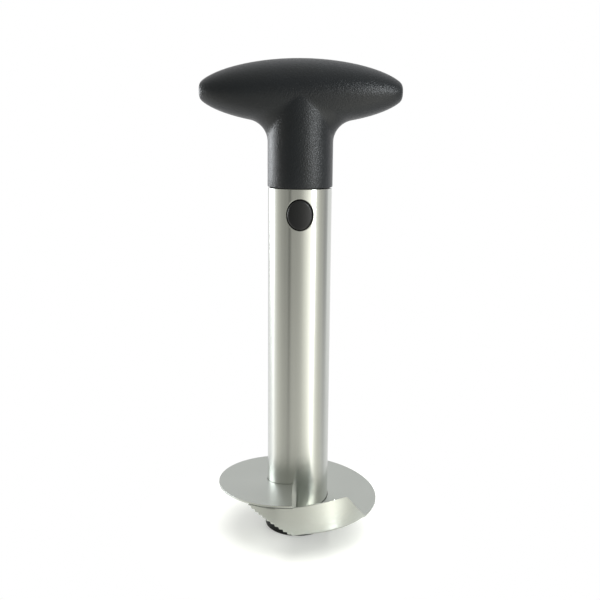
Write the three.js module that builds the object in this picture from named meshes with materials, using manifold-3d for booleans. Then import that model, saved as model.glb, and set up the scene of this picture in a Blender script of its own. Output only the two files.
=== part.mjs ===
import * as THREE from "three";
import { mergeVertices } from "three/addons/utils/BufferGeometryUtils.js";
import Module from "manifold-3d";

const wasm = await Module();
wasm.setup();

// Pineapple corer and slicer, in millimetres, +Z up.
// The origin is on the tube's axis at the height of the floor that the tool stands on.
// The grip runs along X, and one push button faces -Y and the other +Y.

// Clearances between pieces
const FIT_GAP = 0.3;
const WINDOW_GAP = 0.6;
const CUT_OVERRUN = 1;
const LAP = 0.02;
const MERGE_DISTANCE = 0.00001;

// Core tube
const TUBE_RADIUS = 16;
const TUBE_WALL = 0.8;
const TUBE_LENGTH = 178.2;
const TUBE_TEETH = 24;
const TUBE_TOOTH_DEPTH = 2.2;
const TUBE_SIDES = 48;

// Guard cap over the toothed end of the tube
const GUARD_FLOOR = 2;
const GUARD_WALL = 0.9;
const GUARD_HEIGHT = 10.5;
const GUARD_EDGE = 0.6;

// Ring blade: one turn of sheet round the tube, with a peel wall turned up from its rim
const BLADE_RADIUS = 42.2;
const BLADE_THICKNESS = 0.9;
const BLADE_EDGE_THICKNESS = 0.25;
const BLADE_LEAD_HEIGHT = 14;
const BLADE_LEAD_ANGLE = -93.5;
const BLADE_EDGE_ANGLE = 4;
const BLADE_CUT_OFFSET = 2.7;
const BLADE_CUT_BLEND_ANGLE = 24;
const SLOW_PITCH = 7.7;
const FAST_PITCH = 17.9;
const PITCH_CHANGE_ANGLE = 20;
const PITCH_BLEND_ANGLE = 40;
const BLADE_STEPS = 60;

// Peel wall
const PEEL_WALL_THICKNESS = 0.8;
const PEEL_CORNER_RISE = 16.8;
const PEEL_SLIT_RISE = 14.2;
const PEEL_TOP_GAP = 0.35;
const PEEL_FOOT_ANGLE = -35;
const PEEL_CORNER_ANGLE = -54.5;
const PEEL_NOTCH_ANGLE = -92.8;
const PEEL_TOOTH_ANGLE = -125.5;
const PEEL_TEETH = 11;
const TOOTH_BACK_SHARE = 0.15;
const PEEL_STEPS = 8;
const PEEL_FOOT_STEPS = 4;

// Weld bead under the sheet
const BEAD_WIDTH = 1.8;
const BEAD_HEIGHT = 1.4;
const BEAD_START_ANGLE = -76;
const BEAD_END_ANGLE = 244;
const BEAD_STEPS = 48;

// Handle shell: a long oval grip that runs down into a round neck
const NECK_LIP = 0.25;
const NECK_EDGE = 0.5;
const GRIP_HALF_LENGTH = 50;
const GRIP_END_CUT = 1.4;
const GRIP_END_EDGE = 2;
const GRIP_HALF_HEIGHT = 15.8;
const GRIP_DEPTH_SWELL = 0.25;
const GRIP_RISE = 46.35;
const GRIP_FILLET = 10.75;
const SHELL_WALL = 2.6;
const SHELL_DETAIL = { sides: 48, fillet: 4, under: 5, over: 7 };
const CAVITY_DETAIL = { sides: 28, fillet: 2, under: 3, over: 4 };
const NECK_FLOOR = 3;
const RIB_THICKNESS = 3;

// Handle screws
const SCREW_SHANK_RADIUS = 1.4;
const SCREW_LENGTH = 15;
const SCREW_HEAD_RADIUS = 2.8;
const SCREW_HEAD_HEIGHT = 2;
const SCREW_SLOT_WIDTH = 0.8;
const SCREW_SLOT_DEPTH = 1;
const SCREW_SEAT = 7.2;
const SCREW_BOSS_WALL = 1.8;
const GRIP_SCREW_X = 32;
const NECK_SCREW_X = 7.4;
const NECK_SCREW_RISE = 27.6;
const SCREW_SIDES = 12;
const BOSS_SIDES = 16;

// Button carrier inside the top of the tube
const CARRIER_LENGTH = 30.2;
const STEM_FLAT_CUT = 2.5;
const STEM_RISE = 21;
const FLANGE_LIP = 2.5;
const FLANGE_THICKNESS = 3;
const FLANGE_RISE = 9.4;
const CARRIER_WALL = 1.8;
const CARRIER_WEB = 2;
const CARRIER_SIDES = 40;
const COVER_THICKNESS = 3;
const COVER_EDGE = 0.6;
const COVER_SCREW_SHANK_RADIUS = 1;
const COVER_SCREW_HEAD_RADIUS = 2;
const COVER_SCREW_HEAD_HEIGHT = 1.4;
const COVER_SCREW_LENGTH = 10;

// Push buttons
const BUTTON_WIDTH = 12.2;
const BUTTON_HEIGHT = 14.2;
const BUTTON_DROP = 12.6;
const BUTTON_PROUD = 1;
const BUTTON_BEVEL = 0.6;
const BUTTON_TRAVEL = 3;
const BUTTON_FLANGE_LIP = 1.7;
const BUTTON_SIDES = 28;
const SPIGOT_RADIUS = 1.9;
const SPIGOT_LENGTH = 1.3;

// Button springs
const SPRING_WIRE_RADIUS = 0.35;
const SPRING_COIL_RADIUS = 2.6;
const SPRING_CURLS = 5;
const SPRING_SPARE = 0.8;
const CURL_STEPS = 8;
const WIRE_SIDES = 5;

// Worked out from the sizes above
const TUBE_BORE = TUBE_RADIUS - TUBE_WALL;
const TUBE_BOTTOM = GUARD_FLOOR + FIT_GAP;
const TUBE_TOP = TUBE_BOTTOM + TUBE_LENGTH;
const NECK_BOTTOM = TUBE_TOP + FIT_GAP;
const GRIP_AXIS = NECK_BOTTOM + GRIP_RISE;
const NECK_RADIUS = TUBE_RADIUS + NECK_LIP;
const GRIP_HALF_DEPTH = NECK_RADIUS + GRIP_DEPTH_SWELL;
const BUTTON_AXIS = NECK_BOTTOM - BUTTON_DROP;
const CARRIER_RADIUS = TUBE_BORE - FIT_GAP;
const CARRIER_BOTTOM = TUBE_TOP - CARRIER_LENGTH;
const CAVITY_RADIUS = CARRIER_RADIUS - CARRIER_WALL;
const FLANGE_WIDTH = BUTTON_WIDTH + 2 * BUTTON_FLANGE_LIP;
const FLANGE_HEIGHT = BUTTON_HEIGHT + 2 * BUTTON_FLANGE_LIP;
const FLANGE_RADIUS = NECK_RADIUS - SHELL_WALL - 2 * FIT_GAP;
const FLANGE_BOTTOM = NECK_BOTTOM + FLANGE_RISE;
const STEM_RADIUS = FLANGE_RADIUS - FLANGE_LIP;
const STEM_FLAT = STEM_RADIUS - STEM_FLAT_CUT;
const SPRING_SEAT = CARRIER_WEB / 2 + FIT_GAP;
const SPRING_CLOSED_LENGTH = 2 * SPRING_WIRE_RADIUS * SPRING_CURLS;
const BUTTON_FLANGE_BACK = SPRING_SEAT + SPRING_CLOSED_LENGTH + SPRING_SPARE + BUTTON_TRAVEL;
const SPRING_FAR_SEAT = BUTTON_FLANGE_BACK - FIT_GAP;

// Solids and meshes
function solidOf(geometry) {
  const bare = geometry.index ? geometry.clone() : geometry;
  bare.deleteAttribute("normal");
  bare.deleteAttribute("uv");
  const merged = mergeVertices(bare, MERGE_DISTANCE);
  const corners = merged.index.array;
  const kept = [];
  for (let i = 0; i < corners.length; i += 3) {
    const [a, b, c] = [corners[i], corners[i + 1], corners[i + 2]];
    if (a !== b && b !== c && c !== a) kept.push(a, b, c);
  }
  return new wasm.Manifold(new wasm.Mesh({
    numProp: 3,
    vertProperties: Float32Array.from(merged.attributes.position.array),
    triVerts: Uint32Array.from(kept),
  }));
}

function geometryOf(solid) {
  const mesh = solid.getMesh();
  const geometry = new THREE.BufferGeometry();
  geometry.setAttribute("position", new THREE.BufferAttribute(Float32Array.from(mesh.vertProperties), 3));
  geometry.setIndex(new THREE.BufferAttribute(Uint32Array.from(mesh.triVerts), 1));
  geometry.computeVertexNormals();
  return geometry;
}

function joined(solids) {
  return solids.reduce((sum, next) => sum.add(next));
}

function cutBy(solid, cutters) {
  return cutters.reduce((rest, cutter) => rest.subtract(cutter), solid);
}

// A closed body through rings of equal length, with a flat fan over each end
function loftGeometry(rings) {
  const count = rings[0].length;
  const points = rings.flat();
  const faces = [];
  for (let ring = 0; ring + 1 < rings.length; ring += 1) {
    for (let i = 0; i < count; i += 1) {
      const a = ring * count + i;
      const b = ring * count + ((i + 1) % count);
      faces.push(a, b, a + count, b, b + count, a + count);
    }
  }
  const last = (rings.length - 1) * count;
  for (let i = 1; i + 1 < count; i += 1) {
    faces.push(0, i + 1, i);
    faces.push(last, last + i, last + i + 1);
  }
  const geometry = new THREE.BufferGeometry();
  const numbers = points.flatMap((point) => [point.x, point.y, point.z]);
  geometry.setAttribute("position", new THREE.Float32BufferAttribute(numbers, 3));
  geometry.setIndex(faces);
  return geometry;
}

// A lathe body about +Z from [radius, height] pairs that start and end on the axis or close on themselves
function turned(profile, sides) {
  const points = profile.map(([radius, height]) => new THREE.Vector2(radius, height));
  return solidOf(new THREE.LatheGeometry(points, sides).rotateX(Math.PI / 2));
}

function rod(radius, bottom, top, sides) {
  return turned([[0, bottom], [radius, bottom], [radius, top], [0, top]], sides);
}

function pipe(inner, outer, bottom, top, sides) {
  return turned([[inner, bottom], [outer, bottom], [outer, top], [inner, top], [inner, bottom]], sides);
}

function block(low, high) {
  const size = high.clone().sub(low);
  const centre = low.clone().add(high).multiplyScalar(0.5);
  return solidOf(new THREE.BoxGeometry(size.x, size.y, size.z).translate(centre.x, centre.y, centre.z));
}

function vec(x, y, z) {
  return new THREE.Vector3(x, y, z);
}

// Turns a body made about +Z so that its +Z points to -Y, and moves it to x and z
function facingFront(solid, x, z) {
  return solid.rotate([90, 0, 0]).translate([x, 0, z]);
}

// The same body turned half a turn about +Z
function turnedRound(solid) {
  return solid.rotate([0, 0, 180]);
}

// Core tube
function ovalPrism(width, height, near, far) {
  const shape = new THREE.Shape();
  shape.absellipse(0, 0, width / 2, height / 2, 0, 2 * Math.PI, false);
  const geometry = new THREE.ExtrudeGeometry(shape, {
    depth: far - near,
    bevelEnabled: false,
    curveSegments: BUTTON_SIDES,
  });
  return facingFront(solidOf(geometry.translate(0, 0, near)), 0, BUTTON_AXIS);
}

function toothGaps() {
  const half = (Math.PI * TUBE_RADIUS) / TUBE_TEETH;
  const shape = new THREE.Shape([
    new THREE.Vector2(-half, -CUT_OVERRUN),
    new THREE.Vector2(half, -CUT_OVERRUN),
    new THREE.Vector2(half, 0),
    new THREE.Vector2(0, TUBE_TOOTH_DEPTH),
    new THREE.Vector2(-half, 0),
  ]);
  const length = TUBE_RADIUS + CUT_OVERRUN;
  const gap = solidOf(new THREE.ExtrudeGeometry(shape, { depth: length, bevelEnabled: false }));
  const upright = facingFront(gap, 0, TUBE_BOTTOM);
  return Array.from({ length: TUBE_TEETH }, (_, i) => upright.rotate([0, 0, (i * 360) / TUBE_TEETH]));
}

function coreTube() {
  const reach = TUBE_RADIUS + CUT_OVERRUN;
  const window = ovalPrism(BUTTON_WIDTH + 2 * WINDOW_GAP, BUTTON_HEIGHT + 2 * WINDOW_GAP, -reach, reach);
  const body = pipe(TUBE_BORE, TUBE_RADIUS, TUBE_BOTTOM, TUBE_TOP, TUBE_SIDES);
  return geometryOf(cutBy(body, [window, ...toothGaps()]));
}

// Guard cap
function guardCap() {
  const inner = TUBE_RADIUS + FIT_GAP;
  const outer = inner + GUARD_WALL;
  return geometryOf(turned([
    [0, 0],
    [outer - GUARD_EDGE, 0],
    [outer, GUARD_EDGE],
    [outer, GUARD_HEIGHT],
    [inner, GUARD_HEIGHT],
    [inner, GUARD_FLOOR],
    [0, GUARD_FLOOR],
  ], TUBE_SIDES));
}

// Height of the middle of the sheet at an angle: a slow climb, a blend, then a steady climb
function sheetHeight(angle) {
  const slow = SLOW_PITCH / 360;
  const fast = FAST_PITCH / 360;
  const blendStart = PITCH_CHANGE_ANGLE - PITCH_BLEND_ANGLE / 2;
  const past = THREE.MathUtils.clamp(angle - blendStart, 0, PITCH_BLEND_ANGLE);
  const extra = Math.max(angle - blendStart - PITCH_BLEND_ANGLE, 0);
  const climb = slow * (angle - BLADE_LEAD_ANGLE);
  const gain = (fast - slow) * ((past * past) / (2 * PITCH_BLEND_ANGLE) + extra);
  return BLADE_LEAD_HEIGHT + climb + gain;
}

// A body that follows the tube's axis, from rings of [angle, radius, height] points in order of angle
function curvedBody(rings) {
  const placed = rings.map((ring) => ring.map(([angle, radius, height]) => {
    const turn = THREE.MathUtils.degToRad(angle);
    return vec(radius * Math.cos(turn), radius * Math.sin(turn), height);
  }));
  return solidOf(loftGeometry(placed.reverse()));
}

// A section of [radius, height] points as a ring at one angle
function ringAt(angle, section) {
  return section.map(([radius, height]) => [angle, radius, height]);
}

function steps(from, to, count) {
  return Array.from({ length: count + 1 }, (_, i) => from + ((to - from) * i) / count);
}

// The peel wall's upper outline, from its foot on the sheet to the notch at the slit
function peelTop(angle) {
  const lead = sheetHeight(BLADE_LEAD_ANGLE);
  const corner = lead + PEEL_CORNER_RISE;
  const slit = lead + PEEL_SLIT_RISE;
  if (angle > PEEL_CORNER_ANGLE) {
    const foot = sheetHeight(PEEL_FOOT_ANGLE) + BLADE_THICKNESS / 2;
    const share = (angle - PEEL_CORNER_ANGLE) / (PEEL_FOOT_ANGLE - PEEL_CORNER_ANGLE);
    return corner + (foot - corner) * share;
  }
  if (angle > PEEL_NOTCH_ANGLE) {
    const share = (angle - PEEL_NOTCH_ANGLE) / (PEEL_CORNER_ANGLE - PEEL_NOTCH_ANGLE);
    return slit + (corner - slit) * Math.sin((share * Math.PI) / 2);
  }
  return sheetHeight(angle + 360) - BLADE_THICKNESS / 2 - PEEL_TOP_GAP;
}

// The teeth are steps: each has a level foot, and its outer corner is the point that cuts the peel
const TOOTH_ANGLE = (BLADE_LEAD_ANGLE - PEEL_TOOTH_ANGLE) / PEEL_TEETH;
const TOOTH_BACK_ANGLE = TOOTH_ANGLE * TOOTH_BACK_SHARE;

function toothFoot(index) {
  const start = sheetHeight(BLADE_LEAD_ANGLE) - BLADE_THICKNESS / 2;
  const end = peelTop(PEEL_TOOTH_ANGLE);
  return start + ((end - start) * (index + 0.5)) / PEEL_TEETH;
}

// Corners of the blade's section, from the foot of its inner edge round to the top of its inner edge
function bladeSection(angle) {
  const inner = TUBE_RADIUS + FIT_GAP;
  const wall = BLADE_RADIUS - PEEL_WALL_THICKNESS;
  const bottom = sheetHeight(angle) - BLADE_THICKNESS / 2;
  const full = THREE.MathUtils.clamp((angle - BLADE_LEAD_ANGLE) / BLADE_EDGE_ANGLE, 0, 1);
  const surface = bottom + THREE.MathUtils.lerp(BLADE_EDGE_THICKNESS, BLADE_THICKNESS, full);
  const top = angle < PEEL_FOOT_ANGLE ? peelTop(angle) : surface;
  return [
    [inner, bottom],
    [BLADE_RADIUS, bottom],
    [BLADE_RADIUS, top],
    [wall, top],
    [wall, surface],
    [inner, surface],
  ];
}

// The sheet's trailing edge is a straight cut beside the axis, so it lies further round at a larger radius
function trailAngle(radius) {
  return 270 - THREE.MathUtils.radToDeg(Math.asin(BLADE_CUT_OFFSET / radius));
}

// The last rings of the sheet turn step by step to the line of the trailing edge
function bladeRing(angle) {
  const end = trailAngle(TUBE_RADIUS + FIT_GAP);
  const share = THREE.MathUtils.clamp(1 + (angle - end) / BLADE_CUT_BLEND_ANGLE, 0, 1);
  return bladeSection(angle).map(([radius, height]) => {
    const spot = angle + (trailAngle(radius) - end) * share;
    return [spot, radius, height + sheetHeight(spot) - sheetHeight(angle)];
  });
}

// Past the sheet's edge only the wall goes on, and the two inner corners lie close above its foot
function toothSection(foot, top) {
  const wall = BLADE_RADIUS - PEEL_WALL_THICKNESS;
  const third = BLADE_EDGE_THICKNESS / 3;
  return [
    [wall, foot],
    [BLADE_RADIUS, foot],
    [BLADE_RADIUS, top],
    [wall, top],
    [wall, foot + 2 * third],
    [wall, foot + third],
  ];
}

function ringBlade() {
  const edge = BLADE_LEAD_ANGLE + BLADE_EDGE_ANGLE;
  const end = trailAngle(TUBE_RADIUS + FIT_GAP);
  const sheet = [
    BLADE_LEAD_ANGLE,
    PEEL_NOTCH_ANGLE,
    PEEL_NOTCH_ANGLE + TOOTH_BACK_ANGLE,
    ...steps(edge, PEEL_CORNER_ANGLE, PEEL_STEPS),
    ...steps(PEEL_CORNER_ANGLE, PEEL_FOOT_ANGLE, PEEL_FOOT_STEPS).slice(1),
    ...steps(PEEL_FOOT_ANGLE, end, BLADE_STEPS).slice(1),
  ].map(bladeRing);
  const teeth = [];
  for (let i = 0; i < PEEL_TEETH; i += 1) {
    const right = BLADE_LEAD_ANGLE - i * TOOTH_ANGLE - TOOTH_BACK_ANGLE;
    const left = BLADE_LEAD_ANGLE - (i + 1) * TOOTH_ANGLE;
    [right, left].forEach((angle) => {
      teeth.push(ringAt(angle, toothSection(toothFoot(i), peelTop(angle))));
    });
  }
  return geometryOf(curvedBody([...teeth.reverse(), ...sheet]));
}

// Weld bead
function beadSection(angle) {
  const inner = TUBE_RADIUS + FIT_GAP;
  const outer = inner + BEAD_WIDTH;
  const top = sheetHeight(angle) - BLADE_THICKNESS / 2 - FIT_GAP;
  return [
    [inner, top - BEAD_HEIGHT],
    [inner + BEAD_WIDTH / 3, top - BEAD_HEIGHT],
    [outer, top - BEAD_HEIGHT / 4],
    [outer, top],
    [inner, top],
  ];
}

function weldBead() {
  const angles = steps(BEAD_START_ANGLE, BEAD_END_ANGLE, BEAD_STEPS);
  return geometryOf(curvedBody(angles.map((angle) => ringAt(angle, beadSection(angle)))));
}

// The handle's surface in the upright plane at a turn about the axis, as [radius, height] pairs.
// It goes up the neck, round a fillet that touches neck and grip, and over the oval of the grip.
function handleProfile(turn, inset, bottom, edge, detail) {
  const length = GRIP_HALF_LENGTH + GRIP_END_CUT - inset;
  const depth = GRIP_HALF_DEPTH - inset;
  const rise = GRIP_HALF_HEIGHT - inset;
  const neck = NECK_RADIUS - inset;
  const fillet = GRIP_FILLET + inset;
  const reach = 1 / Math.hypot(Math.cos(turn) / length, Math.sin(turn) / depth);
  const onOval = (angle) => [reach * Math.cos(angle), -rise * Math.sin(angle)];
  const outward = (angle) => {
    const [across, up] = [Math.cos(angle) / reach, -Math.sin(angle) / rise];
    const size = Math.hypot(across, up);
    return [across / size, up / size];
  };
  let low = 0;
  let high = Math.PI / 2;
  for (let i = 0; i < 40; i += 1) {
    const middle = (low + high) / 2;
    const miss = onOval(middle)[0] + fillet * outward(middle)[0] - neck - fillet;
    if (miss > 0) low = middle;
    else high = middle;
  }
  const touch = onOval(low);
  const normal = outward(low);
  const centre = [neck + fillet, touch[1] + fillet * normal[1]];
  const sweep = Math.atan2(-normal[1], normal[0]);
  const points = [];
  steps(0, Math.PI / 2, 2).forEach((angle) => {
    points.push([neck - edge + edge * Math.sin(angle), bottom + edge - edge * Math.cos(angle)]);
  });
  const wallTop = GRIP_AXIS + centre[1];
  points.push([neck, (bottom + edge + wallTop) / 2]);
  steps(0, sweep, detail.fillet).forEach((angle) => {
    points.push([
      centre[0] - fillet * Math.cos(angle),
      wallTop + fillet * Math.sin(angle),
    ]);
  });
  steps(low, 0, detail.under).slice(1).forEach((angle) => {
    const [across, up] = onOval(angle);
    points.push([across, GRIP_AXIS + up]);
  });
  steps(0, Math.PI / 2, detail.over).slice(1, -1).forEach((angle) => {
    points.push([reach * Math.cos(angle), GRIP_AXIS + rise * Math.sin(angle)]);
  });
  return { points, crest: GRIP_AXIS + rise };
}

// The tips of the oval are cut off with a rounded edge
function blunted(x, inset) {
  const start = GRIP_HALF_LENGTH - inset - GRIP_END_EDGE;
  const past = Math.abs(x) - start;
  if (past <= 0) return x;
  return Math.sign(x) * (start + GRIP_END_EDGE * Math.tanh(past / GRIP_END_EDGE));
}

// The columns of points stand closer together at the tips of the grip than at its sides
function handleForm(inset, bottom, edge, detail) {
  const { sides } = detail;
  const turns = Array.from({ length: sides }, (_, i) => {
    const even = (i * 2 * Math.PI) / sides;
    return Math.atan2(
      Math.sqrt(GRIP_HALF_DEPTH) * Math.sin(even),
      Math.sqrt(GRIP_HALF_LENGTH) * Math.cos(even),
    );
  });
  const columns = turns.map((turn) => handleProfile(turn, inset, bottom, edge, detail));
  const count = columns[0].points.length;
  const positions = [0, 0, bottom, 0, 0, columns[0].crest];
  columns.forEach(({ points }, i) => {
    const turn = turns[i];
    points.forEach(([radius, height]) => {
      positions.push(blunted(radius * Math.cos(turn), inset), radius * Math.sin(turn), height);
    });
  });
  const faces = [];
  for (let i = 0; i < sides; i += 1) {
    const here = 2 + i * count;
    const next = 2 + ((i + 1) % sides) * count;
    faces.push(0, next, here);
    faces.push(1, here + count - 1, next + count - 1);
    for (let j = 0; j + 1 < count; j += 1) {
      faces.push(here + j, next + j, here + j + 1);
      faces.push(next + j, next + j + 1, here + j + 1);
    }
  }
  const geometry = new THREE.BufferGeometry();
  geometry.setAttribute("position", new THREE.Float32BufferAttribute(positions, 3));
  geometry.setIndex(faces);
  return solidOf(geometry);
}

// Screw places on the handle, as [x, z]
const SCREW_PLACES = [
  [-GRIP_SCREW_X, GRIP_AXIS],
  [GRIP_SCREW_X, GRIP_AXIS],
  [-NECK_SCREW_X, NECK_BOTTOM + NECK_SCREW_RISE],
  [NECK_SCREW_X, NECK_BOTTOM + NECK_SCREW_RISE],
];

// A rod along Y from one y to another
function crossRod(radius, fromY, toY, [x, z], sides) {
  return facingFront(rod(radius, -toY, -fromY, sides), x, z);
}

// A round bar with two flats, which carries the twist of the handle to the carrier
function flattedBar(grow, bottom, top) {
  const radius = STEM_RADIUS + grow;
  const flat = STEM_FLAT + grow;
  const round = rod(radius, bottom, top, CARRIER_SIDES);
  return round.intersect(block(vec(-radius, -flat, bottom), vec(radius, flat, top)));
}

// Both shells start from one hollow body with a floor at the neck and two ribs that trap the carrier's flange
function hollowHandle(outer) {
  const cavity = handleForm(SHELL_WALL, NECK_BOTTOM + NECK_FLOOR, 0, CAVITY_DETAIL);
  const rib = (bottom) => pipe(
    STEM_RADIUS,
    NECK_RADIUS - SHELL_WALL / 2,
    bottom,
    bottom + RIB_THICKNESS,
    CARRIER_SIDES,
  );
  const lowRib = rib(FLANGE_BOTTOM - FIT_GAP - RIB_THICKNESS);
  const highRib = rib(FLANGE_BOTTOM + FLANGE_THICKNESS + FIT_GAP);
  const bore = flattedBar(FIT_GAP, NECK_BOTTOM - CUT_OVERRUN, NECK_BOTTOM + STEM_RISE + CUT_OVERRUN);
  return joined([outer.subtract(cavity), lowRib, highRib]).subtract(bore);
}

function handleShells() {
  const outer = handleForm(0, NECK_BOTTOM, NECK_EDGE, SHELL_DETAIL);
  const hollow = hollowHandle(outer);
  const reach = GRIP_HALF_LENGTH + CUT_OVERRUN;
  const far = GRIP_HALF_DEPTH + CUT_OVERRUN;
  const crest = GRIP_AXIS + GRIP_HALF_HEIGHT + CUT_OVERRUN;
  const foot = NECK_BOTTOM - CUT_OVERRUN;
  const frontHalf = block(vec(-reach, -far, foot), vec(reach, -FIT_GAP / 2, crest));
  const rearHalf = block(vec(-reach, FIT_GAP / 2, foot), vec(reach, far, crest));
  const hole = SCREW_SHANK_RADIUS + FIT_GAP;
  const recess = SCREW_HEAD_RADIUS + FIT_GAP;
  const frontBoss = hole + SCREW_BOSS_WALL;
  const rearBoss = recess + SCREW_BOSS_WALL / 2;
  const tip = SCREW_SEAT - SCREW_LENGTH - CUT_OVERRUN;
  const bosses = (radius, fromY, toY) => SCREW_PLACES.map((place) => (
    crossRod(radius, fromY, toY, place, BOSS_SIDES).intersect(outer)
  ));
  const holes = (radius, fromY, toY) => SCREW_PLACES.map((place) => (
    crossRod(radius, fromY, toY, place, BOSS_SIDES)
  ));
  const front = cutBy(joined([hollow, ...bosses(frontBoss, -far, 0)]), holes(hole, tip, 0));
  const rear = cutBy(joined([hollow, ...bosses(rearBoss, 0, far)]), [
    ...holes(hole, -CUT_OVERRUN, far),
    ...holes(recess, SCREW_SEAT, far),
  ]);
  return [geometryOf(front.intersect(frontHalf)), geometryOf(rear.intersect(rearHalf))];
}

// A screw along Z with its head up and the underside of its head at height zero
function screwSolid(shankRadius, headRadius, headHeight, length) {
  const body = turned([
    [0, -length],
    [shankRadius / 2, -length],
    [shankRadius, -length + shankRadius],
    [shankRadius, 0],
    [headRadius, 0],
    [headRadius, headHeight / 2],
    [headRadius - headHeight / 2, headHeight],
    [0, headHeight],
  ], SCREW_SIDES);
  const half = headRadius / 2;
  const wide = SCREW_SLOT_WIDTH / 2;
  const low = headHeight - Math.min(SCREW_SLOT_DEPTH, headHeight / 2);
  const high = headHeight + CUT_OVERRUN;
  return cutBy(body, [
    block(vec(-half, -wide, low), vec(half, wide, high)),
    block(vec(-wide, -half, low), vec(wide, half, high)),
  ]);
}

function handleScrew([x, z]) {
  const screw = screwSolid(SCREW_SHANK_RADIUS, SCREW_HEAD_RADIUS, SCREW_HEAD_HEIGHT, SCREW_LENGTH);
  const seat = SCREW_SEAT + FIT_GAP;
  return geometryOf(screw.rotate([-90, 0, 0]).translate([x, seat, z]));
}

// Button carrier
const COVER_SCREW_X = (CARRIER_RADIUS + FLANGE_WIDTH / 2 + FIT_GAP) / 2;
const COVER_TOP = CARRIER_BOTTOM - FIT_GAP;
const COVER_BOTTOM = COVER_TOP - COVER_THICKNESS;
const COVER_SEAT = COVER_BOTTOM + COVER_SCREW_HEAD_HEIGHT + FIT_GAP;

function buttonPocket() {
  const half = FLANGE_WIDTH / 2 + FIT_GAP;
  const roof = BUTTON_AXIS + FLANGE_HEIGHT / 2 + FIT_GAP;
  const room = block(
    vec(-half, -CARRIER_RADIUS, CARRIER_BOTTOM - CUT_OVERRUN),
    vec(half, -CARRIER_WEB / 2, roof),
  );
  const round = rod(CAVITY_RADIUS, CARRIER_BOTTOM - CUT_OVERRUN, roof, CARRIER_SIDES);
  return room.intersect(round);
}

function buttonCarrier() {
  const lower = rod(CARRIER_RADIUS, CARRIER_BOTTOM, TUBE_TOP, CARRIER_SIDES);
  const stem = flattedBar(0, TUBE_TOP - LAP, NECK_BOTTOM + STEM_RISE);
  const flange = rod(FLANGE_RADIUS, FLANGE_BOTTOM, FLANGE_BOTTOM + FLANGE_THICKNESS, CARRIER_SIDES);
  const pocket = buttonPocket();
  const reach = CARRIER_RADIUS + CUT_OVERRUN;
  const window = ovalPrism(
    BUTTON_WIDTH + 2 * FIT_GAP,
    BUTTON_HEIGHT + 2 * FIT_GAP,
    CARRIER_WEB,
    reach,
  );
  const pilotTop = COVER_SEAT + COVER_SCREW_LENGTH + CUT_OVERRUN;
  const pilot = rod(
    COVER_SCREW_SHANK_RADIUS + FIT_GAP,
    CARRIER_BOTTOM - CUT_OVERRUN,
    pilotTop,
    SCREW_SIDES,
  );
  return geometryOf(cutBy(joined([lower, stem, flange]), [
    pocket,
    turnedRound(pocket),
    window,
    turnedRound(window),
    pilot.translate([COVER_SCREW_X, 0, 0]),
    pilot.translate([-COVER_SCREW_X, 0, 0]),
  ]));
}

function carrierCover() {
  const disc = turned([
    [0, COVER_BOTTOM],
    [CARRIER_RADIUS - COVER_EDGE, COVER_BOTTOM],
    [CARRIER_RADIUS, COVER_BOTTOM + COVER_EDGE],
    [CARRIER_RADIUS, COVER_TOP],
    [0, COVER_TOP],
  ], CARRIER_SIDES);
  const through = rod(
    COVER_SCREW_SHANK_RADIUS + FIT_GAP,
    COVER_BOTTOM - CUT_OVERRUN,
    COVER_TOP + CUT_OVERRUN,
    SCREW_SIDES,
  );
  const recess = rod(
    COVER_SCREW_HEAD_RADIUS + FIT_GAP,
    COVER_BOTTOM - CUT_OVERRUN,
    COVER_SEAT,
    SCREW_SIDES,
  );
  const sides = [COVER_SCREW_X, -COVER_SCREW_X];
  return geometryOf(cutBy(disc, sides.flatMap((x) => [
    through.translate([x, 0, 0]),
    recess.translate([x, 0, 0]),
  ])));
}

function coverScrew(x) {
  const screw = screwSolid(
    COVER_SCREW_SHANK_RADIUS,
    COVER_SCREW_HEAD_RADIUS,
    COVER_SCREW_HEAD_HEIGHT,
    COVER_SCREW_LENGTH,
  );
  return geometryOf(screw.rotate([180, 0, 0]).translate([x, 0, COVER_SEAT - FIT_GAP]));
}

// A ring of the button's oval, laid on a round surface about the tube's axis
function ovalRing(width, height, radius) {
  return Array.from({ length: BUTTON_SIDES }, (_, i) => {
    const turn = (i * 2 * Math.PI) / BUTTON_SIDES;
    const x = (width / 2) * Math.cos(turn);
    return vec(x, -Math.sqrt(radius * radius - x * x), BUTTON_AXIS + (height / 2) * Math.sin(turn));
  });
}

function flatRing(width, height, y) {
  return ovalRing(width, height, TUBE_RADIUS).map((point) => vec(point.x, y, point.z));
}

// Push button: an oval face that follows the tube, a flange that stays inside, and a spigot for the spring
function pushButton() {
  const face = TUBE_RADIUS + BUTTON_PROUD;
  const bevelled = (share) => [
    BUTTON_WIDTH * share - 2 * BUTTON_BEVEL * share,
    BUTTON_HEIGHT * share - 2 * BUTTON_BEVEL * share,
  ];
  const faceShares = [1, 0.7, 0.4, 0.12];
  const body = solidOf(loftGeometry([
    flatRing(BUTTON_WIDTH, BUTTON_HEIGHT, -BUTTON_FLANGE_BACK - LAP),
    ovalRing(BUTTON_WIDTH, BUTTON_HEIGHT, face - BUTTON_BEVEL),
    ...faceShares.map((share) => ovalRing(...bevelled(share), face)),
  ]));
  const flangeFace = CAVITY_RADIUS - FIT_GAP;
  const flange = ovalPrism(FLANGE_WIDTH, FLANGE_HEIGHT, BUTTON_FLANGE_BACK, CARRIER_RADIUS)
    .intersect(rod(flangeFace, BUTTON_AXIS - FLANGE_HEIGHT, BUTTON_AXIS + FLANGE_HEIGHT, CARRIER_SIDES));
  const spigot = crossRod(
    SPIGOT_RADIUS,
    -BUTTON_FLANGE_BACK - LAP,
    -BUTTON_FLANGE_BACK + SPIGOT_LENGTH,
    [0, BUTTON_AXIS],
    SCREW_SIDES,
  );
  return joined([body, flange, spigot]);
}

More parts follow.
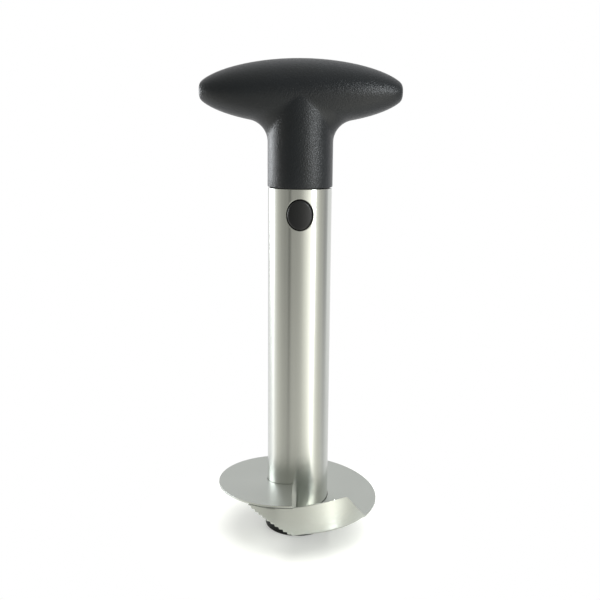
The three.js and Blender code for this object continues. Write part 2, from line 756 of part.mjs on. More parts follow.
// Button spring: one unbroken wire from the carrier's web to the back of the button
function springWire() {
  const from = SPRING_SEAT + SPRING_WIRE_RADIUS;
  const to = SPRING_FAR_SEAT - SPRING_WIRE_RADIUS;
  const count = SPRING_CURLS * CURL_STEPS;
  const centres = Array.from({ length: count + 1 }, (_, i) => {
    const turn = (i * 2 * Math.PI) / CURL_STEPS;
    return vec(
      SPRING_COIL_RADIUS * Math.cos(turn),
      -(from + ((to - from) * i) / count),
      BUTTON_AXIS + SPRING_COIL_RADIUS * Math.sin(turn),
    );
  });
  const rings = centres.map((centre, i) => {
    const turn = (i * 2 * Math.PI) / CURL_STEPS;
    const outward = vec(Math.cos(turn), 0, Math.sin(turn));
    const along = vec(0, -1, 0);
    return Array.from({ length: WIRE_SIDES }, (_, k) => {
      const angle = (k * 2 * Math.PI) / WIRE_SIDES;
      return centre.clone()
        .addScaledVector(outward, SPRING_WIRE_RADIUS * Math.cos(angle))
        .addScaledVector(along, SPRING_WIRE_RADIUS * Math.sin(angle));
    });
  });
  const pitch = (to - from) / SPRING_CURLS;
  console.log(`least gap between curls: ${(pitch - 2 * SPRING_WIRE_RADIUS).toFixed(2)} mm`);
  return loftGeometry(rings.reverse());
}

// Materials
function finish(color, roughness, metalness) {
  return new THREE.MeshStandardMaterial({ color, roughness, metalness });
}

const brushedSteel = () => finish(0xb9b9b2, 0.28, 1);
const sheetSteel = () => finish(0xb0b0aa, 0.34, 1);
const weldSteel = () => finish(0x8d8a84, 0.5, 1);
const grainedBlack = () => finish(0x2b2b2c, 0.55, 0);
const buttonBlack = () => finish(0x222223, 0.42, 0);
const carrierBlack = () => finish(0x303032, 0.6, 0);
const zincSteel = () => finish(0xa9abad, 0.4, 1);
const springSteel = () => finish(0x9b9da0, 0.35, 1);

// Assembly
const group = new THREE.Group();

function place(name, geometry, material, parent = group) {
  const mesh = new THREE.Mesh(geometry, material);
  mesh.name = name;
  parent.add(mesh);
  return mesh;
}

const bladeUnit = new THREE.Group();
const handleUnit = new THREE.Group();
group.add(bladeUnit, handleUnit);

place("core_tube", coreTube(), brushedSteel(), bladeUnit);
place("ring_blade", ringBlade(), sheetSteel(), bladeUnit);
place("weld_bead", weldBead(), weldSteel(), bladeUnit);
place("guard_cap", guardCap(), grainedBlack());

const [frontShell, rearShell] = handleShells();
place("handle_shell_front", frontShell, grainedBlack(), handleUnit);
place("handle_shell_rear", rearShell, grainedBlack(), handleUnit);
SCREW_PLACES.forEach((spot, i) => {
  place(`handle_screw_${i + 1}`, handleScrew(spot), zincSteel(), handleUnit);
});
place("button_carrier", buttonCarrier(), carrierBlack(), handleUnit);
place("carrier_cover", carrierCover(), carrierBlack(), handleUnit);
place("cover_screw_left", coverScrew(-COVER_SCREW_X), zincSteel(), handleUnit);
place("cover_screw_right", coverScrew(COVER_SCREW_X), zincSteel(), handleUnit);

const button = pushButton();
place("button_front", geometryOf(button), buttonBlack(), handleUnit);
place("button_rear", geometryOf(turnedRound(button)), buttonBlack(), handleUnit);
place("button_spring_front", springWire(), springSteel(), handleUnit);
const rearSpring = place("button_spring_rear", springWire(), springSteel(), handleUnit);
rearSpring.rotation.z = Math.PI;

export default group;
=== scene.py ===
import math

import bmesh
import bpy
from bpy.props import FloatProperty, FloatVectorProperty, IntProperty, PointerProperty
from mathutils import Matrix, Vector


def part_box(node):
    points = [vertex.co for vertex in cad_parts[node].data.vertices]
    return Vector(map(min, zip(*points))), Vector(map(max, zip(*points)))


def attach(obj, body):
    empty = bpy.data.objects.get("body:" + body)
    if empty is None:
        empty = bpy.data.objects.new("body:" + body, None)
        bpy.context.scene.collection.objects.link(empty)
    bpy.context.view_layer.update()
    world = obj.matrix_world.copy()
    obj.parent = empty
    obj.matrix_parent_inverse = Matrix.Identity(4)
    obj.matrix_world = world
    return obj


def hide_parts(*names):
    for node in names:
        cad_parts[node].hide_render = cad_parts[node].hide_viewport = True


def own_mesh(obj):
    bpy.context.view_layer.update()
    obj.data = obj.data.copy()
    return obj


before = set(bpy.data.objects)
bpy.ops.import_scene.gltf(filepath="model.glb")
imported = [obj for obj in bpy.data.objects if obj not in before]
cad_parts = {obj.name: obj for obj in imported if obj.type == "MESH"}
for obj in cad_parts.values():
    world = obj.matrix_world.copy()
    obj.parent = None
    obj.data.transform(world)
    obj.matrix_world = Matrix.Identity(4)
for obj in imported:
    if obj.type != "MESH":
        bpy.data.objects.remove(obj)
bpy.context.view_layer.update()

bl_info = {
    "name": "Fruit corer and slicer",
    "version": (1, 0, 0),
    "blender": (4, 5, 0),
    "location": "3D View > Sidebar > Corer",
    "description": "Builds a fruit corer with a steel tube, spiral ring blade, guard and T-handle",
    "category": "Object",
}

MM = 0.001
TURN = 2 * math.pi
QUARTER = math.pi / 2

# Corners of the CAD nodes, which the default sizes come from
TUBE_LOW, TUBE_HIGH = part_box("core_tube")
BLADE_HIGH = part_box("ring_blade")[1]
GUARD_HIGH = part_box("guard_cap")[1]
SHELL_LOW, SHELL_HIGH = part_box("handle_shell_front")
CARRIER_LOW, CARRIER_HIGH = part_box("button_carrier")
COVER_LOW, COVER_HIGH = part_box("carrier_cover")
BUTTON_LOW, BUTTON_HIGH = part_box("button_front")
SPRING_LOW, SPRING_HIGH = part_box("button_spring_front")

# Between pieces that fit together, past what a cutter cuts, and where joined bodies overlap
FIT_GAP = 0.3 * MM
OVERRUN = 1 * MM
LAP = 0.02 * MM
# Points closer together than this are one point
POINT_DISTANCE = 1e-7


# Properties
def length(name, description, default):
    return FloatProperty(name=name, description=description, default=default, min=0, precision=5,
                         subtype="DISTANCE", unit="LENGTH")


def angle(name, description, degrees):
    return FloatProperty(name=name, description=description, default=math.radians(degrees),
                         subtype="ANGLE", unit="ROTATION")


def amount(name, description, default):
    return FloatProperty(name=name, description=description, default=default, min=0)


def colour(name, description, default):
    return FloatVectorProperty(name=name, description=description, default=default, size=3,
                               min=0, max=1, subtype="COLOR")


class TubeSizes(bpy.types.PropertyGroup):
    """Sizes of the core tube"""
    radius: length("Radius", "Outer radius of the tube", TUBE_HIGH.x)
    wall: length("Wall", "Thickness of the tube's wall", 0.8 * MM)
    bottom: length("Bottom", "Height of the tips of the teeth", TUBE_LOW.z)
    top: length("Top", "Height of the tube's upper end", TUBE_HIGH.z)
    teeth: IntProperty(name="Teeth", description="Teeth round the lower end", default=24, min=3)
    tooth_depth: length("Tooth depth", "Depth of the gaps between the teeth", 2.2 * MM)
    window_width: length("Window width", "Width of the oval windows", 13.4 * MM)
    window_height: length("Window height", "Height of the oval windows", 15.4 * MM)


class BladeSizes(bpy.types.PropertyGroup):
    """Sizes of the ring blade, its peel wall and the weld under it"""
    radius: length("Radius", "Outer radius of the blade", min(BLADE_HIGH.x, BLADE_HIGH.y))
    thickness: length("Sheet", "Thickness of the sheet", 0.9 * MM)
    edge: length("Edge", "Thickness of the ground leading edge", 0.25 * MM)
    lead_height: length("Lead height", "Height of the sheet at its leading edge", 14 * MM)
    wall: length("Wall", "Thickness of the peel wall", 0.8 * MM)
    bend: length("Bend", "Outer radius of the bend between sheet and wall", 1.3 * MM)
    corner_rise: length("Corner rise", "Height of the wall's corner above the lead", 16.8 * MM)
    slit_rise: length("Slit rise", "Height of the wall at the slit above the lead", 14.2 * MM)
    teeth: IntProperty(name="Teeth", description="Teeth of the peel wall", default=11, min=2)
    bead_width: length("Weld width", "Width of the weld bead", 1.8 * MM)
    bead_height: length("Weld height", "Height of the weld bead", 1.4 * MM)


class GuardSizes(bpy.types.PropertyGroup):
    """Sizes of the guard cap"""
    radius: length("Radius", "Outer radius of the cap", GUARD_HIGH.x)
    height: length("Height", "Height of the cap", GUARD_HIGH.z)
    floor: length("Floor", "Thickness of the cap's floor", 2 * MM)
    edge: length("Edge", "Rounding of the lower edge", 0.8 * MM)


class HandleSizes(bpy.types.PropertyGroup):
    """Sizes of the T-handle"""
    half_length: length("Half length", "Half the length of the grip", SHELL_HIGH.x + 0.1 * MM)
    end_cut: length("End cut", "How much of each tip of the oval is cut off", 1.4 * MM)
    end_edge: length("End edge", "Rounding of the cut tips", 2 * MM)
    half_height: length("Half height", "Half the height of the grip", 15.8 * MM)
    half_depth: length("Half depth", "Half the depth of the grip", -SHELL_LOW.y)
    neck_radius: length("Neck radius", "Radius of the neck", 16.25 * MM)
    neck_edge: length("Neck edge", "Rounding of the neck's lower edge", 0.4 * MM)
    fillet: length("Fillet", "Radius between neck and grip", 10.75 * MM)
    wall: length("Wall", "Thickness of the shells", 2.6 * MM)
    seam: length("Seam", "Half the width of the groove along the seam", 0.4 * MM)
    screw_radius: length("Screw radius", "Radius of the screws' shanks", 1.4 * MM)
    screw_head: length("Screw head", "Radius of the screws' heads", 2.8 * MM)


class LatchSizes(bpy.types.PropertyGroup):
    """Sizes of the push buttons and of what carries them"""
    width: length("Button width", "Width of a button", 12.2 * MM)
    height: length("Button height", "Height of a button", 14.2 * MM)
    bevel: length("Button bevel", "Rounding of a button's edge", 0.7 * MM)
    radius: length("Carrier radius", "Radius of the carrier", CARRIER_HIGH.x)
    wall: length("Carrier wall", "Wall in front of the buttons' flanges", 1.8 * MM)
    wire: length("Wire", "Radius of the springs' wire", 0.35 * MM)
    coil: length("Coil", "Radius of the springs' coils", 2.6 * MM)
    turns: amount("Turns", "Turns of each spring", 5)


class FinishColours(bpy.types.PropertyGroup):
    """Colours of the materials"""
    tube: colour("Tube", "Polished steel of the tube", (0.635, 0.652, 0.62))
    sheet: colour("Blade", "Satin steel of the blade", (0.605, 0.63, 0.595))
    weld: colour("Weld", "Steel of the weld", (0.45, 0.44, 0.42))
    grip: colour("Grip", "Grained plastic of the handle", (0.0055, 0.0078, 0.0105))
    guard: colour("Guard", "Plastic of the guard cap", (0.008, 0.0085, 0.009))
    button: colour("Buttons", "Plastic of the push buttons", (0.0055, 0.0062, 0.0072))
    carrier: colour("Carrier", "Plastic of the carrier and its cover", (0.02, 0.02, 0.022))
    screw: colour("Screws", "Zinc of the screws", (0.56, 0.56, 0.57))
    spring: colour("Springs", "Drawn wire of the springs", (0.5, 0.5, 0.51))


class StageLook(bpy.types.PropertyGroup):
    """Floor, light and camera"""
    floor: colour("Floor", "Colour of the floor", (0.86, 0.87, 0.83))
    key: amount("Key light", "Power of the soft box at the right, in watts", 9.4)
    rim: amount("Rim light", "Power of the soft box at the left, in watts", 8)
    spot: amount("Spot light", "Power of the small lamp that lights the sheet, in watts", 9)
    sky: amount("Sky light", "Strength of the soft light from above", 2.7)
    pitch: angle("Pitch", "Angle by which the camera looks down", 11.39)
    roll: angle("Roll", "Turn of the camera about its own axis", 0.47)
    lens: FloatProperty(name="Lens", description="Focal length", default=47.37,
                        subtype="DISTANCE_CAMERA")


# Meshes
class Skin:
    """Faces over shared points"""

    def __init__(self):
        self.points = []
        self.faces = []
        self.found = {}

    def point(self, place):
        key = tuple(round(part / POINT_DISTANCE) for part in place)
        if key not in self.found:
            self.found[key] = len(self.points)
            self.points.append(tuple(place))
        return self.found[key]

    def face(self, places):
        corners = []
        for place in places:
            corner = self.point(place)
            if corner not in corners:
                corners.append(corner)
        if len(corners) > 2:
            self.faces.append(corners)

    def lay(self, rings, closed=True, first=True, last=True):
        """Faces between neighbouring rings, and over the first and last ring"""
        count = len(rings[0])
        for low, high in zip(rings, rings[1:]):
            for i in range(count if closed else count - 1):
                j = (i + 1) % count
                self.face((low[i], low[j], high[j], high[i]))
        if first:
            self.face(rings[0][::-1])
        if last:
            self.face(rings[-1])
        return self

    def mesh(self, name, closed=True):
        mesh = bpy.data.meshes.new(name)
        mesh.from_pydata(self.points, [], self.faces)
        if closed:
            work = bmesh.new()
            work.from_mesh(mesh)
            bmesh.ops.recalc_face_normals(work, faces=work.faces)
            work.to_mesh(mesh)
            work.free()
        mesh.validate()
        return mesh


def spread(start, end, count):
    return [start + (end - start) * i / count for i in range(count + 1)]


def clamped(value):
    return min(max(value, 0.0), 1.0)


def eased(share):
    share = clamped(share)
    return share * share * (3 - 2 * share)


def softened(corners, pieces=4):
    """A profile of (radius, height, rounding) corners with each corner rounded by a short curve"""
    points = []
    last = len(corners) - 1
    for i, (radius, height, rounding) in enumerate(corners):
        here = Vector((radius, height))
        if rounding == 0 or i in (0, last):
            points.append(here)
            continue
        before = Vector(corners[i - 1][:2]) - here
        after = Vector(corners[i + 1][:2]) - here
        start = here + before.normalized() * min(rounding, before.length / 2)
        end = here + after.normalized() * min(rounding, after.length / 2)
        for share in spread(0, 1, pieces):
            one = start.lerp(here, share)
            two = here.lerp(end, share)
            points.append(one.lerp(two, share))
    return [(point.x, point.y) for point in points]


def turned(name, profile, sides):
    """A lathe body about Z from (radius, height) pairs that start and end on the axis, or meet"""
    rings = []
    for i in range(sides + 1):
        turn = TURN * (i % sides) / sides
        rings.append([(r * math.cos(turn), r * math.sin(turn), z) for r, z in profile])
    return Skin().lay(rings, closed=False, first=False, last=False).mesh(name)


def rod(radius, bottom, top, sides):
    return turned("rod", [(0, bottom), (radius, bottom), (radius, top), (0, top)], sides)


def puck(radius, bottom, top, lower_edge, upper_edge, sides):
    """A disc or plug about Z with rounded edges"""
    profile = [(0, bottom, 0), (radius, bottom, lower_edge), (radius, top, upper_edge), (0, top, 0)]
    return turned("puck", softened(profile), sides)


def pipe(inner, outer, bottom, top, sides=96):
    profile = [(inner, bottom), (outer, bottom), (outer, top), (inner, top), (inner, bottom)]
    return turned("pipe", profile, sides)


def block(low, high):
    x, y, z = zip(low, high)
    rings = [[(x[0], y[0], h), (x[1], y[0], h), (x[1], y[1], h), (x[0], y[1], h)] for h in z]
    return Skin().lay(rings).mesh("block")


def oval_prism(width, height, middle, near, far, sides=96):
    """An oval rod towards -Y, from one distance in front of the axis to another"""
    turns = [TURN * i / sides for i in range(sides)]
    rings = [[(width / 2 * math.cos(t), -y, middle + height / 2 * math.sin(t)) for t in turns]
             for y in (near, far)]
    return Skin().lay(rings).mesh("oval")


def moved(mesh, matrix):
    copy = mesh.copy()
    copy.transform(matrix)
    return copy


def cross_rod(radius, from_y, to_y, place, sides=48):
    """A rod along Y through a place given as (x, z)"""
    stand = Matrix.Translation((place[0], 0, place[1])) @ Matrix.Rotation(QUARTER, 4, "X")
    return moved(rod(radius, -to_y, -from_y, sides), stand)


def turned_round(mesh):
    return moved(mesh, Matrix.Rotation(math.pi, 4, "Z"))


def together(meshes):
    """One mesh of several bodies that stand apart"""
    work = bmesh.new()
    for mesh in meshes:
        work.from_mesh(mesh)
    whole = bpy.data.meshes.new("together")
    work.to_mesh(whole)
    work.free()
    return whole


def carved(mesh, *steps):
    """The mesh after each (operation, mesh) step

    UNION joins, DIFFERENCE cuts and INTERSECT keeps what is common.
    """
    scene = bpy.context.scene.collection
    base = bpy.data.objects.new("carving", mesh)
    scene.objects.link(base)
    tools = []
    for operation, other in steps:
        tool = bpy.data.objects.new("tool", other)
        scene.objects.link(tool)
        tools.append(tool)
        cut = base.modifiers.new("cut", "BOOLEAN")
        cut.operation = operation
        cut.solver = "MANIFOLD"
        cut.object = tool
    shown = base.evaluated_get(bpy.context.evaluated_depsgraph_get())
    result = bpy.data.meshes.new_from_object(shown)
    for helper in [base, *tools]:
        bpy.data.objects.remove(helper)
    if not result.polygons:
        raise RuntimeError("a carving step left nothing")
    return result


def clear(name):
    """Removes the object that an earlier run left under a name"""
    old = bpy.data.objects.get(name)
    if old:
        bpy.data.objects.remove(old)


def round_edges(piece, width, degrees):
    rounding = piece.modifiers.new("edges", "BEVEL")
    rounding.width = width
    rounding.segments = 2
    rounding.limit_method = "ANGLE"
    rounding.angle_limit = math.radians(degrees)
    rounding.use_clamp_overlap = False


def put(name, mesh, body, node, finish, crease=32, bevel=0.0):
    """Adds a finished mesh as a piece on its body, in place of its CAD node"""
    clear(name)
    mesh.name = name
    mesh.shade_smooth()
    mesh.materials.clear()
    mesh.materials.append(finish)
    piece = bpy.data.objects.new(name, mesh)
    bpy.context.scene.collection.objects.link(piece)
    if bevel:
        round_edges(piece, bevel, crease)
        shading = piece.modifiers.new("shading", "WEIGHTED_NORMAL")
        shading.keep_sharp = True
    else:
        mesh.set_sharp_from_angle(angle=math.radians(crease))
    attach(piece, body)
    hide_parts(node)
    return piece


# Shader nodes
class Signal:
    """A node's output that can be used in sums"""

    def __init__(self, weave, socket):
        self.weave = weave
        self.socket = socket

    def __add__(self, other):
        return self.weave.maths("ADD", self, other)

    __radd__ = __add__

    def __sub__(self, other):
        return self.weave.maths("SUBTRACT", self, other)

    def __rsub__(self, other):
        return self.weave.maths("SUBTRACT", other, self)

    def __mul__(self, other):
        return self.weave.maths("MULTIPLY", self, other)

    __rmul__ = __mul__


class Weave:
    """A node tree under construction"""

    def __init__(self, tree):
        self.tree = tree
        tree.nodes.clear()

    def node(self, kind, settings=None, values=None, out=0):
        """Adds a node, sets its settings first and then its sockets' values or links"""
        node = self.tree.nodes.new(kind)
        for name, value in (settings or {}).items():
            if name == "stops":
                ramp = node.color_ramp.elements
                while len(ramp) < len(value):
                    ramp.new(0.5)
                for stop, (position, tint) in zip(ramp, value):
                    stop.position = position
                    stop.color = (*tint, 1)
            elif name == "between":
                node.color_ramp.interpolation = value
            else:
                setattr(node, name, value)
        for name, value in (values or {}).items():
            if isinstance(value, Signal):
                self.tree.links.new(value.socket, node.inputs[name])
            else:
                node.inputs[name].default_value = value
        return Signal(self, node.outputs[out]) if len(node.outputs) else node

    def maths(self, operation, first, second):
        return self.node("ShaderNodeMath", {"operation": operation}, {0: first, 1: second})

    def place(self, stretch=(1, 1, 1)):
        """Object coordinates in metres, stretched along each axis"""
        here = self.node("ShaderNodeTexCoord", out="Object")
        return self.node("ShaderNodeVectorMath", {"operation": "MULTIPLY"}, {0: here, 1: stretch})

    def noise(self, place, scale, detail, roughness):
        values = {"Vector": place, "Scale": scale, "Detail": detail, "Roughness": roughness}
        return self.node("ShaderNodeTexNoise", None, values)

    def cells(self, place, scale):
        return self.node("ShaderNodeTexVoronoi", None, {"Vector": place, "Scale": scale})

    def ramp(self, factor, stops, between="LINEAR"):
        """Colours by (position, colour) stops, with LINEAR or EASE between them"""
        return self.node("ShaderNodeValToRGB", {"stops": stops, "between": between}, {0: factor})

    def step(self, value, low, high):
        """0 below low, 1 above high, smooth between"""
        settings = {"interpolation_type": "SMOOTHSTEP"}
        values = {"Value": value, "From Min": low, "From Max": high}
        return self.node("ShaderNodeMapRange", settings, values)

    def outward(self, place):
        """Length of a vector"""
        return self.node("ShaderNodeVectorMath", {"operation": "LENGTH"}, {0: place}, out="Value")

    def parts(self, kind, whole):
        """The three outputs of a node that takes a vector or colour apart"""
        sockets = self.node(kind, None, {0: whole}).socket.node.outputs
        return [Signal(self, socket) for socket in sockets]

    def mixed(self, factor, one, two):
        return self.node("ShaderNodeMix", {"data_type": "RGBA"}, {0: factor, 6: one, 7: two}, out=2)

    def bump(self, height, strength, distance):
        values = {"Height": height, "Strength": strength, "Distance": distance}
        return self.node("ShaderNodeBump", None, values)


def shade(tint, share=1.0):
    return tuple(part * share for part in tint) + (1,)


def material(name, build):
    """A material whose surface sockets come from build, as a dict of names to values or links"""
    made = bpy.data.materials.new(name)
    made.use_nodes = True
    weave = Weave(made.node_tree)
    shader = weave.node("ShaderNodeBsdfPrincipled", None, build(weave))
    weave.node("ShaderNodeOutputMaterial", None, {"Surface": shader})
    return made


def tube_steel(tint):
    """Steel polished round the tube, so that its highlights run along it"""
    def build(weave):
        lines = weave.noise(weave.place((90, 90, 5200)), scale=1, detail=2, roughness=0.6)
        fine = weave.noise(weave.place((260, 260, 16000)), scale=1, detail=1, roughness=0.5)
        clouds = weave.noise(weave.place(), scale=60, detail=3, roughness=0.6)
        return {
            "Base Color": weave.mixed(clouds, shade(tint, 0.97), shade(tint, 1.03)),
            "Metallic": 1.0,
            "Roughness": 0.17 + 0.05 * lines + 0.04 * clouds,
            "Anisotropic": 0.94,
            "Anisotropic Rotation": 0.25,
            "Normal": weave.bump(lines * 0.6 + fine * 0.4, strength=0.05, distance=0.05 * MM),
        }
    return material("tube_steel", build)


def sheet_steel(tint):
    """Satin sheet with a faint grain along it, more polished on the outside of the peel wall"""
    def build(weave):
        grain = weave.noise(weave.place((260, 6500, 2600)), scale=1, detail=3, roughness=0.6)
        clouds = weave.noise(weave.place(), scale=45, detail=3, roughness=0.55)
        wall = weave.step(weave.outward(weave.place((1, 1, 0))), low=41.5 * MM, high=42 * MM)
        return {
            "Base Color": weave.mixed(clouds, shade(tint, 0.95), shade(tint, 1.03)),
            "Metallic": 1.0,
            "Roughness": 0.36 - 0.2 * wall + 0.06 * grain + 0.05 * clouds,
            "Normal": weave.bump(grain, strength=0.06, distance=0.05 * MM),
        }
    return material("sheet_steel", build)


def weld_steel(tint):
    """Weld metal with heat tints and soot"""
    def build(weave):
        patches = weave.noise(weave.place(), scale=420, detail=4, roughness=0.6)
        straw, violet, soot = (0.5, 0.4, 0.24), (0.34, 0.3, 0.4), (0.3, 0.29, 0.28)
        heat = weave.ramp(patches, [(0.3, tint), (0.45, straw), (0.55, violet), (0.7, soot)])
        return {
            "Base Color": weave.mixed(0.45, shade(tint), heat),
            "Metallic": 1.0,
            "Roughness": 0.36 + 0.25 * patches,
            "Normal": weave.bump(patches, strength=0.3, distance=0.1 * MM),
        }
    return material("weld_steel", build)


def grained_plastic(name, tint, roughness, grain_scale, strength):
    """Black moulded plastic with a fine spark grain"""
    def build(weave):
        place = weave.place()
        grain = weave.noise(place, grain_scale, detail=2, roughness=0.65)
        pits = weave.cells(place, scale=grain_scale * 0.8)
        clouds = weave.noise(place, scale=70, detail=3, roughness=0.5)
        return {
            "Base Color": weave.mixed(clouds, shade(tint, 0.85), shade(tint, 1.25)),
            "Roughness": roughness - 0.05 + 0.08 * grain + 0.03 * clouds,
            "Specular IOR Level": 0.48,
            "Normal": weave.bump(grain * 0.75 + pits * 0.25, strength, distance=0.4 * MM),
        }
    return material(name, build)


def plated_steel(name, tint, roughness, scale):
    """Plated or drawn steel with a slightly uneven surface"""
    def build(weave):
        mottle = weave.noise(weave.place(), scale, detail=4, roughness=0.6)
        return {
            "Base Color": weave.mixed(mottle, shade(tint, 0.85), shade(tint, 1.1)),
            "Metallic": 1.0,
            "Roughness": roughness + 0.15 * mottle,
            "Normal": weave.bump(mottle, strength=0.1, distance=0.1 * MM),
        }
    return material(name, build)


# Core tube
TUBE_COLUMNS = 192
TUBE_ROWS = 44
WINDOW_COLUMNS = 16
WINDOW_ROWS = 18
WINDOW_ROOM = 1.8 * MM
PATCH_RINGS = 6
TOOTH_ROOM_SHARE = 1.4
TUBE_EDGE = 0.1 * MM
TUBE_EDGE_ANGLE = 45
BUTTON_AXIS = (BUTTON_LOW.z + BUTTON_HIGH.z) / 2


def tooth_rise(sizes, turn):
    share = abs((turn + QUARTER) * sizes.teeth / TURN % 1 - 0.5) * 2
    return sizes.tooth_depth * share


def tube_point(radius, turn, height):
    return (radius * math.cos(turn), radius * math.sin(turn), height)


def tube_skin(sizes):
    """The tube's outer skin: rows of even faces, with a patch of rings round each window"""
    step = TURN / TUBE_COLUMNS
    half_room = sizes.window_height / 2 + WINDOW_ROOM
    low_edge = BUTTON_AXIS - half_room
    high_edge = BUTTON_AXIS + half_room
    foot = sizes.bottom + sizes.tooth_depth * TOOTH_ROOM_SHARE
    heights = spread(foot, low_edge, TUBE_ROWS) + spread(low_edge, high_edge, WINDOW_ROWS)[1:]
    heights.append(sizes.top)
    low_row = TUBE_ROWS + 1
    high_row = low_row + WINDOW_ROWS

    def at(row, column):
        turn = column % TUBE_COLUMNS * step
        if row == 0:
            return tube_point(sizes.radius, turn, sizes.bottom + tooth_rise(sizes, turn))
        return tube_point(sizes.radius, turn, heights[row - 1])

    skin = Skin()
    middles = (TUBE_COLUMNS // 4, 3 * TUBE_COLUMNS // 4)
    for row in range(len(heights)):
        for column in range(TUBE_COLUMNS):
            in_window = any(-WINDOW_COLUMNS <= column - m < WINDOW_COLUMNS for m in middles)
            if in_window and low_row <= row < high_row:
                continue
            skin.face((at(row, column), at(row, column + 1),
                       at(row + 1, column + 1), at(row + 1, column)))
    for middle in middles:
        left, right = -WINDOW_COLUMNS, WINDOW_COLUMNS
        border = [(low_row, c) for c in range(left, right)]
        border += [(r, right) for r in range(low_row, high_row)]
        border += [(high_row, c) for c in range(right, left, -1)]
        border += [(r, left) for r in range(high_row, low_row, -1)]
        rings = [[at(row, middle + column) for row, column in border]]
        for ring in range(1, PATCH_RINGS + 1):
            share = ring / PATCH_RINGS
            points = []
            for row, column in border:
                turn = column * step
                rise = heights[row - 1] - BUTTON_AXIS
                around = math.atan2(rise / half_room, column / WINDOW_COLUMNS)
                edge_turn = math.asin(sizes.window_width / 2 * math.cos(around) / sizes.radius)
                edge_rise = sizes.window_height / 2 * math.sin(around)
                points.append(tube_point(
                    sizes.radius,
                    middle * step + turn + (edge_turn - turn) * share,
                    BUTTON_AXIS + rise + (edge_rise - rise) * share,
                ))
            rings.append(points)
        skin.lay(rings, first=False, last=False)
    return skin


class CORER_OT_core_tube(bpy.types.Operator):
    """Builds the steel tube with its oval windows and toothed lower end"""
    bl_idname = "corer.core_tube"
    bl_label = "Core tube"

    def execute(self, context):
        sizes = context.scene.corer_tube
        mesh = tube_skin(sizes).mesh("tube", closed=False)
        piece = put("steel_tube", mesh, "blade_unit", "core_tube",
                    tube_steel(context.scene.corer_colours.tube), crease=50)
        wall = piece.modifiers.new("wall", "SOLIDIFY")
        wall.thickness = sizes.wall
        wall.offset = -1
        round_edges(piece, TUBE_EDGE, TUBE_EDGE_ANGLE)
        piece.modifiers.new("shading", "WEIGHTED_NORMAL")
        return {"FINISHED"}


# Ring blade, with its angles in degrees
LEAD_ANGLE = -93.5
EDGE_ANGLE = 4
CUT_OFFSET = 2.7 * MM
CUT_BLEND_ANGLE = 24
BEND_TAPER_ANGLE = 8
SLOW_PITCH = 7.7 * MM
FAST_PITCH = 17.9 * MM
PITCH_CHANGE_ANGLE = 20
PITCH_BLEND_ANGLE = 40
FOOT_ANGLE = -35
CORNER_ANGLE = -54.5
NOTCH_ANGLE = -92.8
TOOTH_END_ANGLE = -125.5
TOOTH_BACK_SHARE = 0.15
TOP_GAP = 0.35 * MM
CORNER_ROUNDING = 1.2
CORNER_SAMPLES = 8
SLIT_ROOM = 3
BEND_RISE_SHARE = 0.8
BLADE_EDGE = 0.08 * MM
HUB_RADIUS = TUBE_HIGH.x + FIT_GAP
FLAT_PIECES = 10
BEND_PIECES = 6
WALL_PIECES = 8
FINE_END = FOOT_ANGLE + 3
FINE_RINGS = 123
EVEN_RINGS = 195
TOOTH_RINGS = 4


def sheet_height(sizes, degrees):
    """Middle of the sheet, which climbs slowly at first and then faster, with a smooth change"""
    start = PITCH_CHANGE_ANGLE - PITCH_BLEND_ANGLE / 2
    past = min(max(degrees - start, 0), PITCH_BLEND_ANGLE)
    extra = max(degrees - start - PITCH_BLEND_ANGLE, 0)
    climb = SLOW_PITCH / 360 * (degrees - LEAD_ANGLE)
    gain = (FAST_PITCH - SLOW_PITCH) / 360 * (past * past / (2 * PITCH_BLEND_ANGLE) + extra)
    return sizes.lead_height + climb + gain


def wall_top(sizes, degrees):
    """Upper edge of the peel wall: teeth under the trailing end, slit, arc, corner and foot"""
    lead = sheet_height(sizes, LEAD_ANGLE)
    corner = lead + sizes.corner_rise
    slit = lead + sizes.slit_rise
    if degrees > FOOT_ANGLE:
        return sheet_height(sizes, degrees) + sizes.thickness / 2
    if degrees > CORNER_ANGLE:
        foot = sheet_height(sizes, FOOT_ANGLE) + sizes.thickness / 2
        return corner + (foot - corner) * (degrees - CORNER_ANGLE) / (FOOT_ANGLE - CORNER_ANGLE)
    if degrees > NOTCH_ANGLE:
        share = (degrees - NOTCH_ANGLE) / (CORNER_ANGLE - NOTCH_ANGLE)
        return slit + (corner - slit) * math.sin(share * QUARTER)
    return sheet_height(sizes, degrees + 360) - sizes.thickness / 2 - TOP_GAP


def soft_wall_top(sizes, degrees):
    """The wall's outline with its corner and its foot rounded"""
    if degrees < NOTCH_ANGLE + SLIT_ROOM:
        return wall_top(sizes, degrees)
    shifts = spread(-CORNER_ROUNDING, CORNER_ROUNDING, CORNER_SAMPLES)
    near = [wall_top(sizes, degrees + shift) for shift in shifts]
    return sum(near) / len(near)


